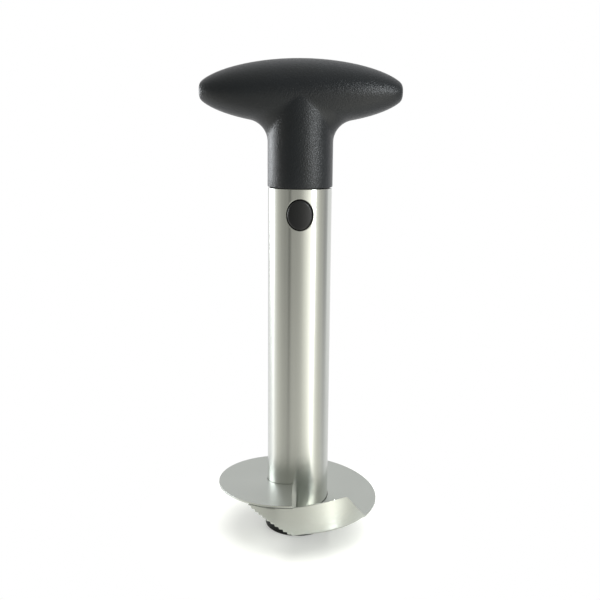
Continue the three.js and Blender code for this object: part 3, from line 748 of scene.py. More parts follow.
def blade_section(sizes, degrees):
    """Outline of the sheet and its wall as (radius, height), from the hub round the rim and back"""
    wall = sizes.radius - sizes.wall
    low = sheet_height(sizes, degrees) - sizes.thickness / 2
    full = clamped((degrees - LEAD_ANGLE) / EDGE_ANGLE)
    high = low + sizes.edge + (sizes.thickness - sizes.edge) * full
    top = soft_wall_top(sizes, degrees)
    rise = max(top - high, 0)
    bend = min(sizes.bend, BEND_RISE_SHARE * rise)
    bend *= eased((degrees - LEAD_ANGLE) / BEND_TAPER_ANGLE)
    inside = max(bend - sizes.wall, 0)
    top = max(top, high + inside)
    arcs = spread(0, QUARTER, BEND_PIECES)
    flat_end = sizes.radius - max(bend, sizes.wall)
    points = [(r, low) for r in spread(HUB_RADIUS, flat_end, FLAT_PIECES)]
    points += [(sizes.radius - bend + bend * math.sin(a), low + bend - bend * math.cos(a))
               for a in arcs]
    points += [(sizes.radius, z) for z in spread(low + bend, top, WALL_PIECES)[1:]]
    points += [(wall, z) for z in spread(top, high + inside, WALL_PIECES)]
    points += [(wall - inside + inside * math.sin(a), high + inside - inside * math.cos(a))
               for a in arcs[::-1]]
    points += [(r, high) for r in spread(wall - inside, HUB_RADIUS, FLAT_PIECES)]
    return points


def tooth_section(sizes, foot, top):
    wall = sizes.radius - sizes.wall
    outer = [(sizes.radius, z) for z in spread(foot, top, WALL_PIECES)]
    inner = [(wall, z) for z in spread(top, foot + sizes.edge, WALL_PIECES)]
    return outer + inner + [(wall, foot)]


def bent(degrees, section):
    turn = math.radians(degrees)
    return [tube_point(radius, turn, height) for radius, height in section]


def trail_angle(radius):
    """Where the straight cut of the sheet's trailing edge meets a radius"""
    return 270 - math.degrees(math.asin(CUT_OFFSET / radius))


def blade_ring(sizes, degrees):
    """A ring of the blade: the last ones turn step by step to the line of the trailing edge"""
    end = trail_angle(HUB_RADIUS)
    share = clamped(1 + (degrees - end) / CUT_BLEND_ANGLE)
    points = []
    for radius, height in blade_section(sizes, degrees):
        spot = degrees + (trail_angle(radius) - end) * share
        rise = sheet_height(sizes, spot) - sheet_height(sizes, degrees)
        points.append(tube_point(radius, math.radians(spot), height + rise))
    return points


def blade_skin(sizes):
    fine = spread(LEAD_ANGLE, FINE_END, FINE_RINGS)
    even = spread(FINE_END, trail_angle(HUB_RADIUS), EVEN_RINGS)[1:]
    skin = Skin()
    skin.lay([blade_ring(sizes, a) for a in fine + even], first=False)
    lead = blade_section(sizes, LEAD_ANGLE)
    sheet_end = lead[:FLAT_PIECES + 1] + lead[-FLAT_PIECES - 1:]
    skin.face(bent(LEAD_ANGLE, sheet_end))
    pitch = (LEAD_ANGLE - TOOTH_END_ANGLE) / sizes.teeth
    start = sheet_height(sizes, LEAD_ANGLE) - sizes.thickness / 2
    end = wall_top(sizes, TOOTH_END_ANGLE)
    rings = [bent(LEAD_ANGLE, tooth_section(sizes, start, soft_wall_top(sizes, LEAD_ANGLE)))]
    for i in range(sizes.teeth):
        foot = start + (end - start) * (i + 0.5) / sizes.teeth
        right = LEAD_ANGLE - i * pitch - pitch * TOOTH_BACK_SHARE
        left = LEAD_ANGLE - (i + 1) * pitch
        for degrees in spread(right, left, TOOTH_RINGS):
            rings.append(bent(degrees, tooth_section(sizes, foot, wall_top(sizes, degrees))))
    skin.lay(rings, first=False)
    return skin


class CORER_OT_ring_blade(bpy.types.Operator):
    """Builds the spiral ring blade with its peel wall and its teeth"""
    bl_idname = "corer.ring_blade"
    bl_label = "Ring blade"

    def execute(self, context):
        mesh = blade_skin(context.scene.corer_blade).mesh("blade")
        put("slicing_blade", mesh, "blade_unit", "ring_blade",
            sheet_steel(context.scene.corer_colours.sheet), crease=40, bevel=BLADE_EDGE)
        return {"FINISHED"}


# Weld bead, with its angles in degrees
BEAD_START = -76
BEAD_END = 244
RIPPLE_ANGLE = 4
RIPPLE_STEPS = 8
RIPPLE_DEPTH = 0.16
RIPPLE_POWER = 0.7
BEAD_ARCS = 7
BEAD_TAPER_ANGLE = 5
BEAD_TIP_SHARE = 0.06
BEAD_FLATNESS = 0.12


def bead_skin(sizes):
    count = round((BEAD_END - BEAD_START) / RIPPLE_ANGLE) * RIPPLE_STEPS
    rings = []
    for degrees in spread(BEAD_START, BEAD_END, count):
        edge = min(degrees - BEAD_START, BEAD_END - degrees) / BEAD_TAPER_ANGLE
        swell = math.sqrt(clamped(BEAD_TIP_SHARE + edge))
        wave = abs(math.sin(math.pi * degrees / RIPPLE_ANGLE)) ** RIPPLE_POWER
        share = swell * (1 - RIPPLE_DEPTH * (1 - wave))
        top = sheet_height(sizes, degrees) - sizes.thickness / 2 - FIT_GAP
        section = [(HUB_RADIUS, top)]
        for turn in spread(0, QUARTER, BEAD_ARCS):
            bulge = share * (1 - BEAD_FLATNESS * math.sin(2 * turn))
            section.append((
                HUB_RADIUS + sizes.bead_width * bulge * math.cos(turn),
                top - sizes.bead_height * bulge * math.sin(turn),
            ))
        rings.append(bent(degrees, section))
    return Skin().lay(rings)


class CORER_OT_weld_bead(bpy.types.Operator):
    """Builds the rippled weld under the sheet"""
    bl_idname = "corer.weld_bead"
    bl_label = "Weld bead"

    def execute(self, context):
        mesh = bead_skin(context.scene.corer_blade).mesh("weld")
        put("weld_seam", mesh, "blade_unit", "weld_bead",
            weld_steel(context.scene.corer_colours.weld), crease=60)
        return {"FINISHED"}


# Guard cap
GUARD_BORE = TUBE_HIGH.x + FIT_GAP
GUARD_RIM_EDGE = 0.35 * MM
GUARD_FLOOR_EDGE = 0.5 * MM


def guard_mesh(sizes):
    return turned("guard", softened([
        (0, 0, 0),
        (sizes.radius, 0, sizes.edge),
        (sizes.radius, sizes.height, GUARD_RIM_EDGE),
        (GUARD_BORE, sizes.height, GUARD_RIM_EDGE),
        (GUARD_BORE, sizes.floor, GUARD_FLOOR_EDGE),
        (0, sizes.floor, 0),
    ], pieces=5), sides=160)


class CORER_OT_guard_cap(bpy.types.Operator):
    """Builds the guard cap over the toothed end"""
    bl_idname = "corer.guard_cap"
    bl_label = "Guard cap"

    def execute(self, context):
        finish = grained_plastic("guard_plastic", context.scene.corer_colours.guard,
                                 roughness=0.5, grain_scale=2300, strength=0.3)
        mesh = guard_mesh(context.scene.corer_guard)
        put("end_guard", mesh, "guard", "guard_cap", finish, crease=40)
        return {"FINISHED"}


# Handle shells
NECK_BOTTOM = SHELL_LOW.z
NECK_FLOOR = 3 * MM
RIB_THICKNESS = 3 * MM
STEM_RISE = 21 * MM
FLANGE_RISE = 9.4 * MM
FLANGE_THICKNESS = 3 * MM
FLANGE_RADIUS = 13.05 * MM
STEM_RADIUS = 10.55 * MM
STEM_FLAT = 8.05 * MM
SCREW_SEAT = 7.2 * MM
SCREW_LENGTH = 15 * MM
BOSS_WALL = 1.8 * MM
END_SLIMMING = 0.07
HALVINGS = 40
NECK_EDGE_PIECES = 5
GRIP_SCREW_X = 32 * MM
NECK_SCREW_X = 7.4 * MM
NECK_SCREW_RISE = 27.6 * MM
SHELL_DETAIL = {"sides": 176, "fillet": 12, "under": 16, "over": 22, "neck": 6}
CAVITY_DETAIL = {"sides": 72, "fillet": 5, "under": 6, "over": 8, "neck": 1}


def grip_axis(sizes):
    return SHELL_HIGH.z - sizes.half_height


def handle_profile(sizes, turn, inset, bottom, edge, detail):
    """(radius, height) pairs up the neck, round the fillet and over the oval grip, at a turn"""
    axis = grip_axis(sizes)
    rise = sizes.half_height - inset
    neck = sizes.neck_radius - inset
    fillet = sizes.fillet + inset
    reach = 1 / math.hypot(math.cos(turn) / (sizes.half_length + sizes.end_cut - inset),
                           math.sin(turn) / (sizes.half_depth - inset))

    def outward(around):
        return Vector((math.cos(around) / reach, -math.sin(around) / rise)).normalized()

    # Where the fillet meets the underside of the grip
    low, high = 0.0, QUARTER
    for _ in range(HALVINGS):
        middle = (low + high) / 2
        normal = outward(middle)
        if reach * math.cos(middle) + fillet * normal.x > neck + fillet:
            low = middle
        else:
            high = middle
    normal = outward(low)
    wall_end = axis - rise * math.sin(low) + fillet * normal.y
    points = [(neck - edge + edge * math.sin(a), bottom + edge - edge * math.cos(a))
              for a in spread(0, QUARTER, NECK_EDGE_PIECES)]
    points += [(neck, z) for z in spread(bottom + edge, wall_end, detail["neck"])[1:-1]]
    points += [(neck + fillet - fillet * math.cos(a), wall_end + fillet * math.sin(a))
               for a in spread(0, math.atan2(-normal.y, normal.x), detail["fillet"])]
    points += [(reach * math.cos(a), axis - rise * math.sin(a))
               for a in spread(low, 0, detail["under"])[1:]]
    points += [(reach * math.cos(a), axis + rise * math.sin(a))
               for a in spread(0, QUARTER, detail["over"])[1:-1]]
    return points + [(0, axis + rise)]


def blunted(sizes, point, inset):
    """The point of the oval, slimmer towards the ends and drawn in where the tips are cut off"""
    x, y, z = point
    axis = grip_axis(sizes)
    z = axis + (z - axis) * (1 - END_SLIMMING * (x / sizes.half_length) ** 2)
    start = sizes.half_length - inset - sizes.end_edge
    past = abs(x) - start
    if past <= 0:
        return (x, y, z)
    return (math.copysign(start + sizes.end_edge * math.tanh(past / sizes.end_edge), x), y, z)


def handle_form(sizes, inset, bottom, edge, detail):
    sides = detail["sides"]
    rings = []
    for i in range(sides + 1):
        even = TURN * (i % sides) / sides
        turn = math.atan2(math.sqrt(sizes.half_depth) * math.sin(even),
                          math.sqrt(sizes.half_length) * math.cos(even))
        profile = [(0, bottom)] + handle_profile(sizes, turn, inset, bottom, edge, detail)
        rings.append([blunted(sizes, tube_point(radius, turn, height), inset)
                      for radius, height in profile])
    return Skin().lay(rings, closed=False, first=False, last=False).mesh("handle")


def seam_cutter(sizes):
    """A thin square bar along the outline of the handle, which chamfers both shells at the seam"""
    side = handle_profile(sizes, 0, 0, NECK_BOTTOM, sizes.neck_edge, SHELL_DETAIL)
    right = [Vector(blunted(sizes, (radius, 0, height), 0)) for radius, height in side]
    right[0] = Vector((sizes.neck_radius, 0, NECK_BOTTOM - OVERRUN))
    path = right + [Vector((-point.x, 0, point.z)) for point in right[-2::-1]]
    rings = []
    for i, point in enumerate(path):
        along = (path[min(i + 1, len(path) - 1)] - path[max(i - 1, 0)]).normalized()
        out = Vector((along.z, 0, -along.x)) * sizes.seam
        across = Vector((0, sizes.seam, 0))
        rings.append([tuple(point + shift) for shift in (out, across, -out, -across)])
    return Skin().lay(rings).mesh("seam")


def flatted_bar(grow, bottom, top):
    """The carrier's stem with its two flats, or the hole for it"""
    radius = STEM_RADIUS + grow
    flat = STEM_FLAT + grow
    keep = block((-radius, -flat, bottom), (radius, flat, top))
    return carved(rod(radius, bottom, top, sides=96), ("INTERSECT", keep))


def screw_places(sizes):
    """(x, z) of the screws through the grip and through the neck"""
    right = [(GRIP_SCREW_X, grip_axis(sizes)), (NECK_SCREW_X, NECK_BOTTOM + NECK_SCREW_RISE)]
    return [(side * x, z) for x, z in right for side in (-1, 1)]


def shell_meshes(sizes):
    outer = handle_form(sizes, 0, NECK_BOTTOM, sizes.neck_edge, SHELL_DETAIL)
    cavity = handle_form(sizes, sizes.wall, NECK_BOTTOM + NECK_FLOOR, 0, CAVITY_DETAIL)
    flange = NECK_BOTTOM + FLANGE_RISE
    rib_starts = (flange - FIT_GAP - RIB_THICKNESS, flange + FLANGE_THICKNESS + FIT_GAP)
    ribs = together([pipe(STEM_RADIUS, sizes.neck_radius - sizes.wall / 2, z, z + RIB_THICKNESS)
                     for z in rib_starts])
    bore = flatted_bar(FIT_GAP, NECK_BOTTOM - OVERRUN, NECK_BOTTOM + STEM_RISE + OVERRUN)
    hollow = carved(outer, ("DIFFERENCE", cavity), ("UNION", ribs), ("DIFFERENCE", bore))
    far = sizes.half_depth + OVERRUN
    reach = sizes.half_length + OVERRUN
    foot = NECK_BOTTOM - 2 * OVERRUN
    crest = SHELL_HIGH.z + OVERRUN
    hole = sizes.screw_radius + FIT_GAP
    recess = sizes.screw_head + FIT_GAP
    places = screw_places(sizes)

    def rods(radius, from_y, to_y):
        return together([cross_rod(radius, from_y, to_y, place) for place in places])

    front_bosses = carved(rods(hole + BOSS_WALL, -far, 0), ("INTERSECT", outer))
    rear_bosses = carved(rods(recess + BOSS_WALL / 2, 0, far), ("INTERSECT", outer))
    seam = seam_cutter(sizes)
    front = carved(
        hollow,
        ("UNION", front_bosses),
        ("DIFFERENCE", rods(hole, SCREW_SEAT - SCREW_LENGTH - OVERRUN, OVERRUN)),
        ("DIFFERENCE", seam),
        ("INTERSECT", block((-reach, -far, foot), (reach, 0, crest))),
    )
    rear = carved(
        hollow,
        ("UNION", rear_bosses),
        ("DIFFERENCE", rods(hole, -OVERRUN, far)),
        ("DIFFERENCE", rods(recess, SCREW_SEAT, far)),
        ("DIFFERENCE", seam),
        ("INTERSECT", block((-reach, 0, foot), (reach, far, crest))),
    )
    return front, rear


class CORER_OT_handle_shells(bpy.types.Operator):
    """Builds the two hollow shells of the T-handle with their ribs, bosses and screw recesses"""
    bl_idname = "corer.handle_shells"
    bl_label = "Handle shells"

    def execute(self, context):
        finish = grained_plastic("grip_plastic", context.scene.corer_colours.grip,
                                 roughness=0.29, grain_scale=1700, strength=0.6)
        front, rear = shell_meshes(context.scene.corer_handle)
        put("grip_front", front, "handle", "handle_shell_front", finish)
        put("grip_rear", rear, "handle", "handle_shell_rear", finish)
        return {"FINISHED"}


# Screws
THREAD_PITCH = 0.9 * MM
THREAD_SHARE = 0.2
THREAD_POWER = 0.8
THREAD_STEPS = 6
SCREW_SIDES = 48
SCREW_HEAD_HEIGHT = 2 * MM
TIP_LENGTH = 0.05 * MM
SHANK_TOP = 0.02 * MM
HEAD_EDGE = 0.15 * MM
SHOULDER_EDGE = 0.3 * MM
# In shares of the shank's radius, of the screw's length and of the head's radius and height
TIP_SHARE = 0.12
TIP_WIDENING = 0.75
PLAIN_SHARE = 0.12
DOME_START = 0.45
DOME_SHOULDER = (0.6, 0.93)
CROSS_REACH = 0.62
CROSS_WIDTH = 0.8 / 2.8
CROSS_FLOOR = 0.4
CROSS_FOOT = (0.5, 0.7)
# How far each screw is turned in, in radians
FIRST_TWIST = 0.4
TWIST_STEP = 1.1


def screw_mesh(shank, head, head_height, total):
    """A threaded screw along Z, head up, with the underside of its head at height zero"""
    def ring(height, radius_at):
        points = []
        for i in range(SCREW_SIDES):
            radius = radius_at(i / SCREW_SIDES)
            points.append(tube_point(radius, TURN * i / SCREW_SIDES, height))
        return points

    rings = [ring(-total, lambda share: shank * TIP_SHARE)]
    plain = PLAIN_SHARE * total
    count = round((total - plain) / THREAD_PITCH * THREAD_STEPS)
    for height in spread(-total + TIP_LENGTH, -plain, count):
        point = clamped((height + total) / (2 * shank))
        end = clamped((-plain - height) / THREAD_PITCH)

        def threaded(share, height=height, point=point, end=end):
            phase = (height / THREAD_PITCH - share) % 1
            cut = THREAD_SHARE * abs(2 * phase - 1) ** THREAD_POWER * end
            return shank * (1 - TIP_WIDENING + TIP_WIDENING * point) * (1 - cut)

        rings.append(ring(height, threaded))
    rings.append(ring(-SHANK_TOP, lambda share: shank))
    profile = softened([
        (shank, 0, 0),
        (head, 0, HEAD_EDGE),
        (head, head_height * DOME_START, SHOULDER_EDGE),
        (head * DOME_SHOULDER[0], head_height * DOME_SHOULDER[1], head / 2),
        (0, head_height, 0),
    ], pieces=5)
    rings += [ring(z, lambda share, r=r: r) for r, z in profile]
    body = Skin().lay(rings, last=False).mesh("screw")
    long = head * CROSS_REACH
    wide = head * CROSS_WIDTH / 2

    def slot(x, y, height):
        return [(-x, -y, height), (x, -y, height), (x, y, height), (-x, y, height)]

    foot = slot(long * CROSS_FOOT[0], wide * CROSS_FOOT[1], head_height * CROSS_FLOOR)
    arm = Skin().lay([foot, slot(long, wide, head_height + OVERRUN)]).mesh("cross")
    cutters = [moved(arm, Matrix.Rotation(turn, 4, "Z")) for turn in (0, QUARTER)]
    return carved(body, *[("DIFFERENCE", cutter) for cutter in cutters])


class CORER_OT_handle_screws(bpy.types.Operator):
    """Builds the four screws that join the shells from the rear"""
    bl_idname = "corer.handle_screws"
    bl_label = "Handle screws"

    def execute(self, context):
        sizes = context.scene.corer_handle
        finish = plated_steel("screw_steel", context.scene.corer_colours.screw,
                              roughness=0.3, scale=900)
        screw = screw_mesh(sizes.screw_radius, sizes.screw_head, SCREW_HEAD_HEIGHT, SCREW_LENGTH)
        for i, (x, z) in enumerate(screw_places(sizes)):
            twist = Matrix.Rotation(FIRST_TWIST + TWIST_STEP * i, 4, "Z")
            seat = Matrix.Translation((x, SCREW_SEAT + FIT_GAP, z))
            stand = seat @ Matrix.Rotation(-QUARTER, 4, "X")
            put(f"grip_screw_{i + 1}", moved(screw, stand @ twist), "handle",
                f"handle_screw_{i + 1}", finish)
        return {"FINISHED"}


# Latch: carrier, cover, buttons and springs
FLANGE_LIP = 1.7 * MM
WEB = 2 * MM
FLANGE_BACK = 8.6 * MM
SPIGOT_RADIUS = 1.9 * MM
SPIGOT_LENGTH = 1.3 * MM
COVER_SCREW_SHANK = 1 * MM
COVER_SCREW_HEAD = 2 * MM
COVER_SCREW_HEAD_HEIGHT = 1.4 * MM
COVER_SCREW_LENGTH = 10 * MM
COVER_SEAT = COVER_LOW.z + COVER_SCREW_HEAD_HEIGHT + FIT_GAP


def cover_screw_x(sizes):
    """Halfway between the button's flange and the carrier's outside"""
    return (sizes.radius + (sizes.width / 2 + FLANGE_LIP) + FIT_GAP) / 2


def carrier_mesh(sizes):
    bottom = CARRIER_LOW.z
    lower = puck(sizes.radius, bottom, TUBE_HIGH.z,
                 lower_edge=0.5 * MM, upper_edge=0.3 * MM, sides=160)
    stem = flatted_bar(0, TUBE_HIGH.z - LAP, NECK_BOTTOM + STEM_RISE)
    start = NECK_BOTTOM + FLANGE_RISE
    flange = puck(FLANGE_RADIUS, start, start + FLANGE_THICKNESS,
                  lower_edge=0.3 * MM, upper_edge=0.3 * MM, sides=128)
    half = sizes.width / 2 + FLANGE_LIP + FIT_GAP
    roof = BUTTON_AXIS + sizes.height / 2 + FLANGE_LIP + FIT_GAP
    pocket = carved(
        block((-half, -sizes.radius, bottom - OVERRUN), (half, -WEB / 2, roof)),
        ("INTERSECT", rod(sizes.radius - sizes.wall, bottom - OVERRUN, roof, sides=128)),
    )
    window = oval_prism(sizes.width + 2 * FIT_GAP, sizes.height + 2 * FIT_GAP, BUTTON_AXIS,
                        WEB, sizes.radius + OVERRUN)
    pilot_top = COVER_SEAT + COVER_SCREW_LENGTH + OVERRUN
    pilot = rod(COVER_SCREW_SHANK + FIT_GAP, bottom - OVERRUN, pilot_top, sides=32)
    x = cover_screw_x(sizes)
    return carved(
        lower,
        ("UNION", stem),
        ("UNION", flange),
        ("DIFFERENCE", pocket),
        ("DIFFERENCE", turned_round(pocket)),
        ("DIFFERENCE", window),
        ("DIFFERENCE", turned_round(window)),
        ("DIFFERENCE", moved(pilot, Matrix.Translation((x, 0, 0)))),
        ("DIFFERENCE", moved(pilot, Matrix.Translation((-x, 0, 0)))),
    )


def cover_mesh(sizes):
    low, high = COVER_LOW.z, COVER_HIGH.z
    disc = puck(sizes.radius, low, high, lower_edge=0.9 * MM, upper_edge=0.2 * MM, sides=160)
    x = cover_screw_x(sizes)
    through = rod(COVER_SCREW_SHANK + FIT_GAP, low - OVERRUN, high + OVERRUN, sides=32)
    recess = rod(COVER_SCREW_HEAD + FIT_GAP, low - OVERRUN, COVER_SEAT, sides=48)
    cutters = []
    for side in (x, -x):
        for hole in (through, recess):
            cutters.append(("DIFFERENCE", moved(hole, Matrix.Translation((side, 0, 0)))))
    return carved(disc, *cutters)


class CORER_OT_latch_carrier(bpy.types.Operator):
    """Builds the carrier that holds the buttons inside the tube, and the cover that closes it"""
    bl_idname = "corer.latch_carrier"
    bl_label = "Carrier and cover"

    def execute(self, context):
        sizes = context.scene.corer_latch
        finish = grained_plastic("carrier_plastic", context.scene.corer_colours.carrier,
                                 roughness=0.42, grain_scale=1400, strength=0.12)
        put("latch_carrier", carrier_mesh(sizes), "handle", "button_carrier", finish)
        put("latch_cover", cover_mesh(sizes), "handle", "carrier_cover", finish)
        return {"FINISHED"}


class CORER_OT_cover_screws(bpy.types.Operator):
    """Builds the two screws that hold the cover"""
    bl_idname = "corer.cover_screws"
    bl_label = "Cover screws"

    def execute(self, context):
        finish = plated_steel("cover_screw_steel", context.scene.corer_colours.screw,
                              roughness=0.3, scale=900)
        screw = screw_mesh(COVER_SCREW_SHANK, COVER_SCREW_HEAD, COVER_SCREW_HEAD_HEIGHT,
                           COVER_SCREW_LENGTH)
        x = cover_screw_x(context.scene.corer_latch)
        for side, place in (("left", -x), ("right", x)):
            seat = Matrix.Translation((place, 0, COVER_SEAT - FIT_GAP))
            stand = seat @ Matrix.Rotation(math.pi, 4, "X")
            put(f"latch_screw_{side}", moved(screw, stand), "handle",
                f"cover_screw_{side}", finish)
        return {"FINISHED"}


# Rings of a button's bevel, and of its face as shares of the face's size
BUTTON_SIDES = 128
BEVEL_PIECES = 6
FACE_SHARES = (0.9, 0.78, 0.64, 0.5, 0.36, 0.22, 0.1)


def oval_ring(width, height, radius):
    """An oval laid on a round surface about the tube's axis, at its front"""
    points = []
    for i in range(BUTTON_SIDES):
        turn = TURN * i / BUTTON_SIDES
        x = width / 2 * math.cos(turn)
        z = BUTTON_AXIS + height / 2 * math.sin(turn)
        points.append((x, -math.sqrt(radius * radius - x * x), z))
    return points


def button_mesh(sizes):
    face = -BUTTON_LOW.y
    back = [(x, -FLANGE_BACK - LAP, z) for x, _, z in oval_ring(sizes.width, sizes.height, face)]
    rings = [back]
    for turn in spread(0, QUARTER, BEVEL_PIECES):
        inset = 2 * sizes.bevel * (1 - math.cos(turn))
        rings.append(oval_ring(sizes.width - inset, sizes.height - inset,
                               face - sizes.bevel + sizes.bevel * math.sin(turn)))
    width = sizes.width - 2 * sizes.bevel
    height = sizes.height - 2 * sizes.bevel
    rings += [oval_ring(width * share, height * share, face) for share in FACE_SHARES]
    body = Skin().lay(rings).mesh("button")
    lip_width = sizes.width + 2 * FLANGE_LIP
    lip_height = sizes.height + 2 * FLANGE_LIP
    round_face = rod(sizes.radius - sizes.wall - FIT_GAP, BUTTON_AXIS - lip_height,
                     BUTTON_AXIS + lip_height, sides=128)
    flange = carved(oval_prism(lip_width, lip_height, BUTTON_AXIS, FLANGE_BACK, sizes.radius),
                    ("INTERSECT", round_face))
    spigot = cross_rod(SPIGOT_RADIUS, -FLANGE_BACK - LAP, -FLANGE_BACK + SPIGOT_LENGTH,
                       (0, BUTTON_AXIS))
    return carved(body, ("UNION", flange), ("UNION", spigot))


class CORER_OT_push_buttons(bpy.types.Operator):
    """Builds the two push buttons that release the handle"""
    bl_idname = "corer.push_buttons"
    bl_label = "Push buttons"

    def execute(self, context):
        finish = grained_plastic("button_plastic", context.scene.corer_colours.button,
                                 roughness=0.36, grain_scale=1500, strength=0.12)
        front = button_mesh(context.scene.corer_latch)
        rear = turned_round(front)
        put("latch_button_front", front, "front_button", "button_front", finish)
        put("latch_button_rear", rear, "rear_button", "button_rear", finish)
        return {"FINISHED"}


# The springs, which close up at their ends by a share of their length
WIRE_SIDES = 12
COIL_STEPS = 28
END_CLOSING = 0.35
SPRING_FIXED = 1.3 * MM


def spring_mesh(sizes):
    start = -SPRING_HIGH.y + sizes.wire
    end = -SPRING_LOW.y - sizes.wire
    count = round(sizes.turns * COIL_STEPS)
    rings = []
    for i in range(count + 1):
        share = i / count
        turn = TURN * sizes.turns * share
        along = share - END_CLOSING * math.sin(TURN * share) / TURN
        out = Vector((math.cos(turn), 0, math.sin(turn)))
        centre = out * sizes.coil + Vector((0, -(start + (end - start) * along), BUTTON_AXIS))
        ring = []
        for k in range(WIRE_SIDES):
            around = TURN * k / WIRE_SIDES
            offset = out * math.cos(around) - Vector((0, 1, 0)) * math.sin(around)
            ring.append(tuple(centre + offset * sizes.wire))
        rings.append(ring)
    return Skin().lay(rings).mesh("spring")


class CORER_OT_button_springs(bpy.types.Operator):
    """Builds the coil springs behind the buttons"""
    bl_idname = "corer.button_springs"
    bl_label = "Button springs"

    def execute(self, context):
        finish = plated_steel("spring_steel", context.scene.corer_colours.spring,
                              roughness=0.28, scale=1500)
        front = spring_mesh(context.scene.corer_latch)
        rear = turned_round(front)
        for side, mesh, y in (("front", front, -1), ("rear", rear, 1)):
            piece = put(f"latch_spring_{side}", mesh, "handle",
                        f"button_spring_{side}", finish, crease=60)
            y * SPRING_FIXED
            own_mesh(piece)
        return {"FINISHED"}


# Stage
CAMERA_PLACE = (0, -0.399, 0.2035)
CAMERA_SHIFT = 0.0015
SENSOR = 36
FLOOR_RADIUS = 0.09
FLOOR_FADE = 0.06
FLOOR_DROP = 0.05 * MM
FLOOR_SIDES = 96
MIDDLE = (0, 0, 0.12)
SHEET_FRONT = (0.018, -0.024, 0.016)
COOL_TINT = (0.93, 0.97, 1.0)
WARM_TINT = (1, 1, 0.94)


def lamp(name, kind, place, target, power, size, tint=(1, 1, 1)):
    """A lamp, its size (width, height) for AREA, (radius, cone) for SPOT and an angle for SUN"""
    clear(name)
    light = bpy.data.lights.new(name, kind)
    light.energy = power
    light.color = tint
    if kind == "AREA":
        light.shape = "RECTANGLE"
        light.size, light.size_y = size
    elif kind == "SPOT":
        light.shadow_soft_size, light.spot_size = size
        light.spot_blend = 1
    else:
        light.angle = size
    carrier = bpy.data.objects.new(name, light)
    bpy.context.scene.collection.objects.link(carrier)
    carrier.location = place
    toward = Vector(target) - Vector(place)
    carrier.rotation_euler = toward.to_track_quat("-Z", "Y").to_euler()
    carrier.visible_camera = False
    carrier.visible_glossy = kind != "SUN"
    return carrier


def link_to_blade(carrier, name, state):
    """Makes a lamp light only the blade with INCLUDE, or everything but the blade with EXCLUDE"""
    group = bpy.data.collections.new(name)
    group.objects.link(bpy.data.objects["slicing_blade"])
    carrier.light_linking.receiver_collection = group
    group.collection_objects[0].light_linking.link_state = state


def round_the_tool(azimuth, distance, height):
    """A place at an azimuth in degrees to the right of the camera's side"""
    turn = math.radians(azimuth)
    return (distance * math.sin(turn), -distance * math.cos(turn), height)


# What the steel mirrors, by degrees to the right of the camera's side: strength low and level
STUDIO_ROUND = (
    (-150, 0.88, 0.85), (-128, 0.93, 1.05), (-117, 1.2, 1.42), (-110, 1.65, 1.74),
    (-103, 1.35, 1.5), (-97, 0.93, 1.1), (-90, 0.85, 0.79), (-80, 0.79, 0.57),
    (-66, 0.65, 0.38), (-52, 0.6, 0.28), (-44, 0.56, 0.28), (-40, 0.5, 0.14),
    (-36, 0.53, 0.05), (-32, 0.63, 0.16), (-28, 0.69, 0.34), (-12, 0.7, 0.36),
    (0, 0.76, 0.43), (9, 0.85, 0.64), (17, 0.99, 0.98), (25, 1.12, 1.33),
    (33, 1.37, 1.7), (40, 1.68, 1.85), (50, 1.62, 1.85), (57, 0.92, 1.75),
    (63, 0.85, 1.32), (68, 0.84, 1.07), (75, 0.84, 0.75), (86, 0.78, 0.56),
    (106, 0.67, 0.36), (115, 0.74, 0.48), (126, 0.82, 0.96), (150, 0.86, 0.93),
)
# Strength for the peel wall, which mirrors what lies deepest, where it isn't the strength low down
STUDIO_FOOT = {40: 1.82, 50: 1.86, 57: 1.62, 63: 1.3, 68: 1.04}
FOOT_TURN = 0.021
STUDIO_PEAK = 2.0


def studio_world(scene):
    """A studio, white to the eye, with grey and bright stretches round the tool for its steel"""
    world = bpy.data.worlds.new("studio")
    scene.world = world
    world.use_nodes = True
    weave = Weave(world.node_tree)
    direction = weave.node("ShaderNodeTexCoord", out="Generated")
    x, y, z = weave.parts("ShaderNodeSeparateXYZ", direction)
    deep = weave.step(z, low=-0.36, high=-0.46)
    shallow = weave.step(z, low=-0.3, high=-0.17)
    raised = weave.step(z, low=0, high=0.16)
    overhead = weave.step(z, low=0.5, high=0.95)
    behind = weave.step(y, low=-0.2, high=0.5)
    about = weave.maths("ARCTAN2", x, 0 - y) * (1 / TURN) + 0.5 - FOOT_TURN * deep
    stops = []
    for turn, low, level in STUDIO_ROUND:
        strengths = (low, level, STUDIO_FOOT.get(turn, low))
        stops.append(((turn + 180) / 360, tuple(part / STUDIO_PEAK for part in strengths)))
    bands = weave.parts("ShaderNodeSeparateColor", weave.ramp(about, stops, "EASE"))
    low, level, foot = (band * STUDIO_PEAK for band in bands)
    band = foot * deep + low * (1 - deep - shallow) + level * shallow
    high = 0.33 + 0.36 * behind + 0.3 * overhead
    strength = band * (1 - raised) + high * raised
    tone = weave.mixed(behind, (1.015, 1, 0.92, 1), (1, 1, 1, 1))
    room = weave.node("ShaderNodeBackground", None, {"Color": tone, "Strength": strength})
    white = weave.node("ShaderNodeBackground", None, {"Color": (1, 1, 1, 1), "Strength": 1.0})
    seen = weave.node("ShaderNodeLightPath", out="Is Camera Ray")
    both = weave.node("ShaderNodeMixShader", None, {0: seen, 1: room, 2: white})
    weave.node("ShaderNodeOutputWorld", None, {"Surface": both})


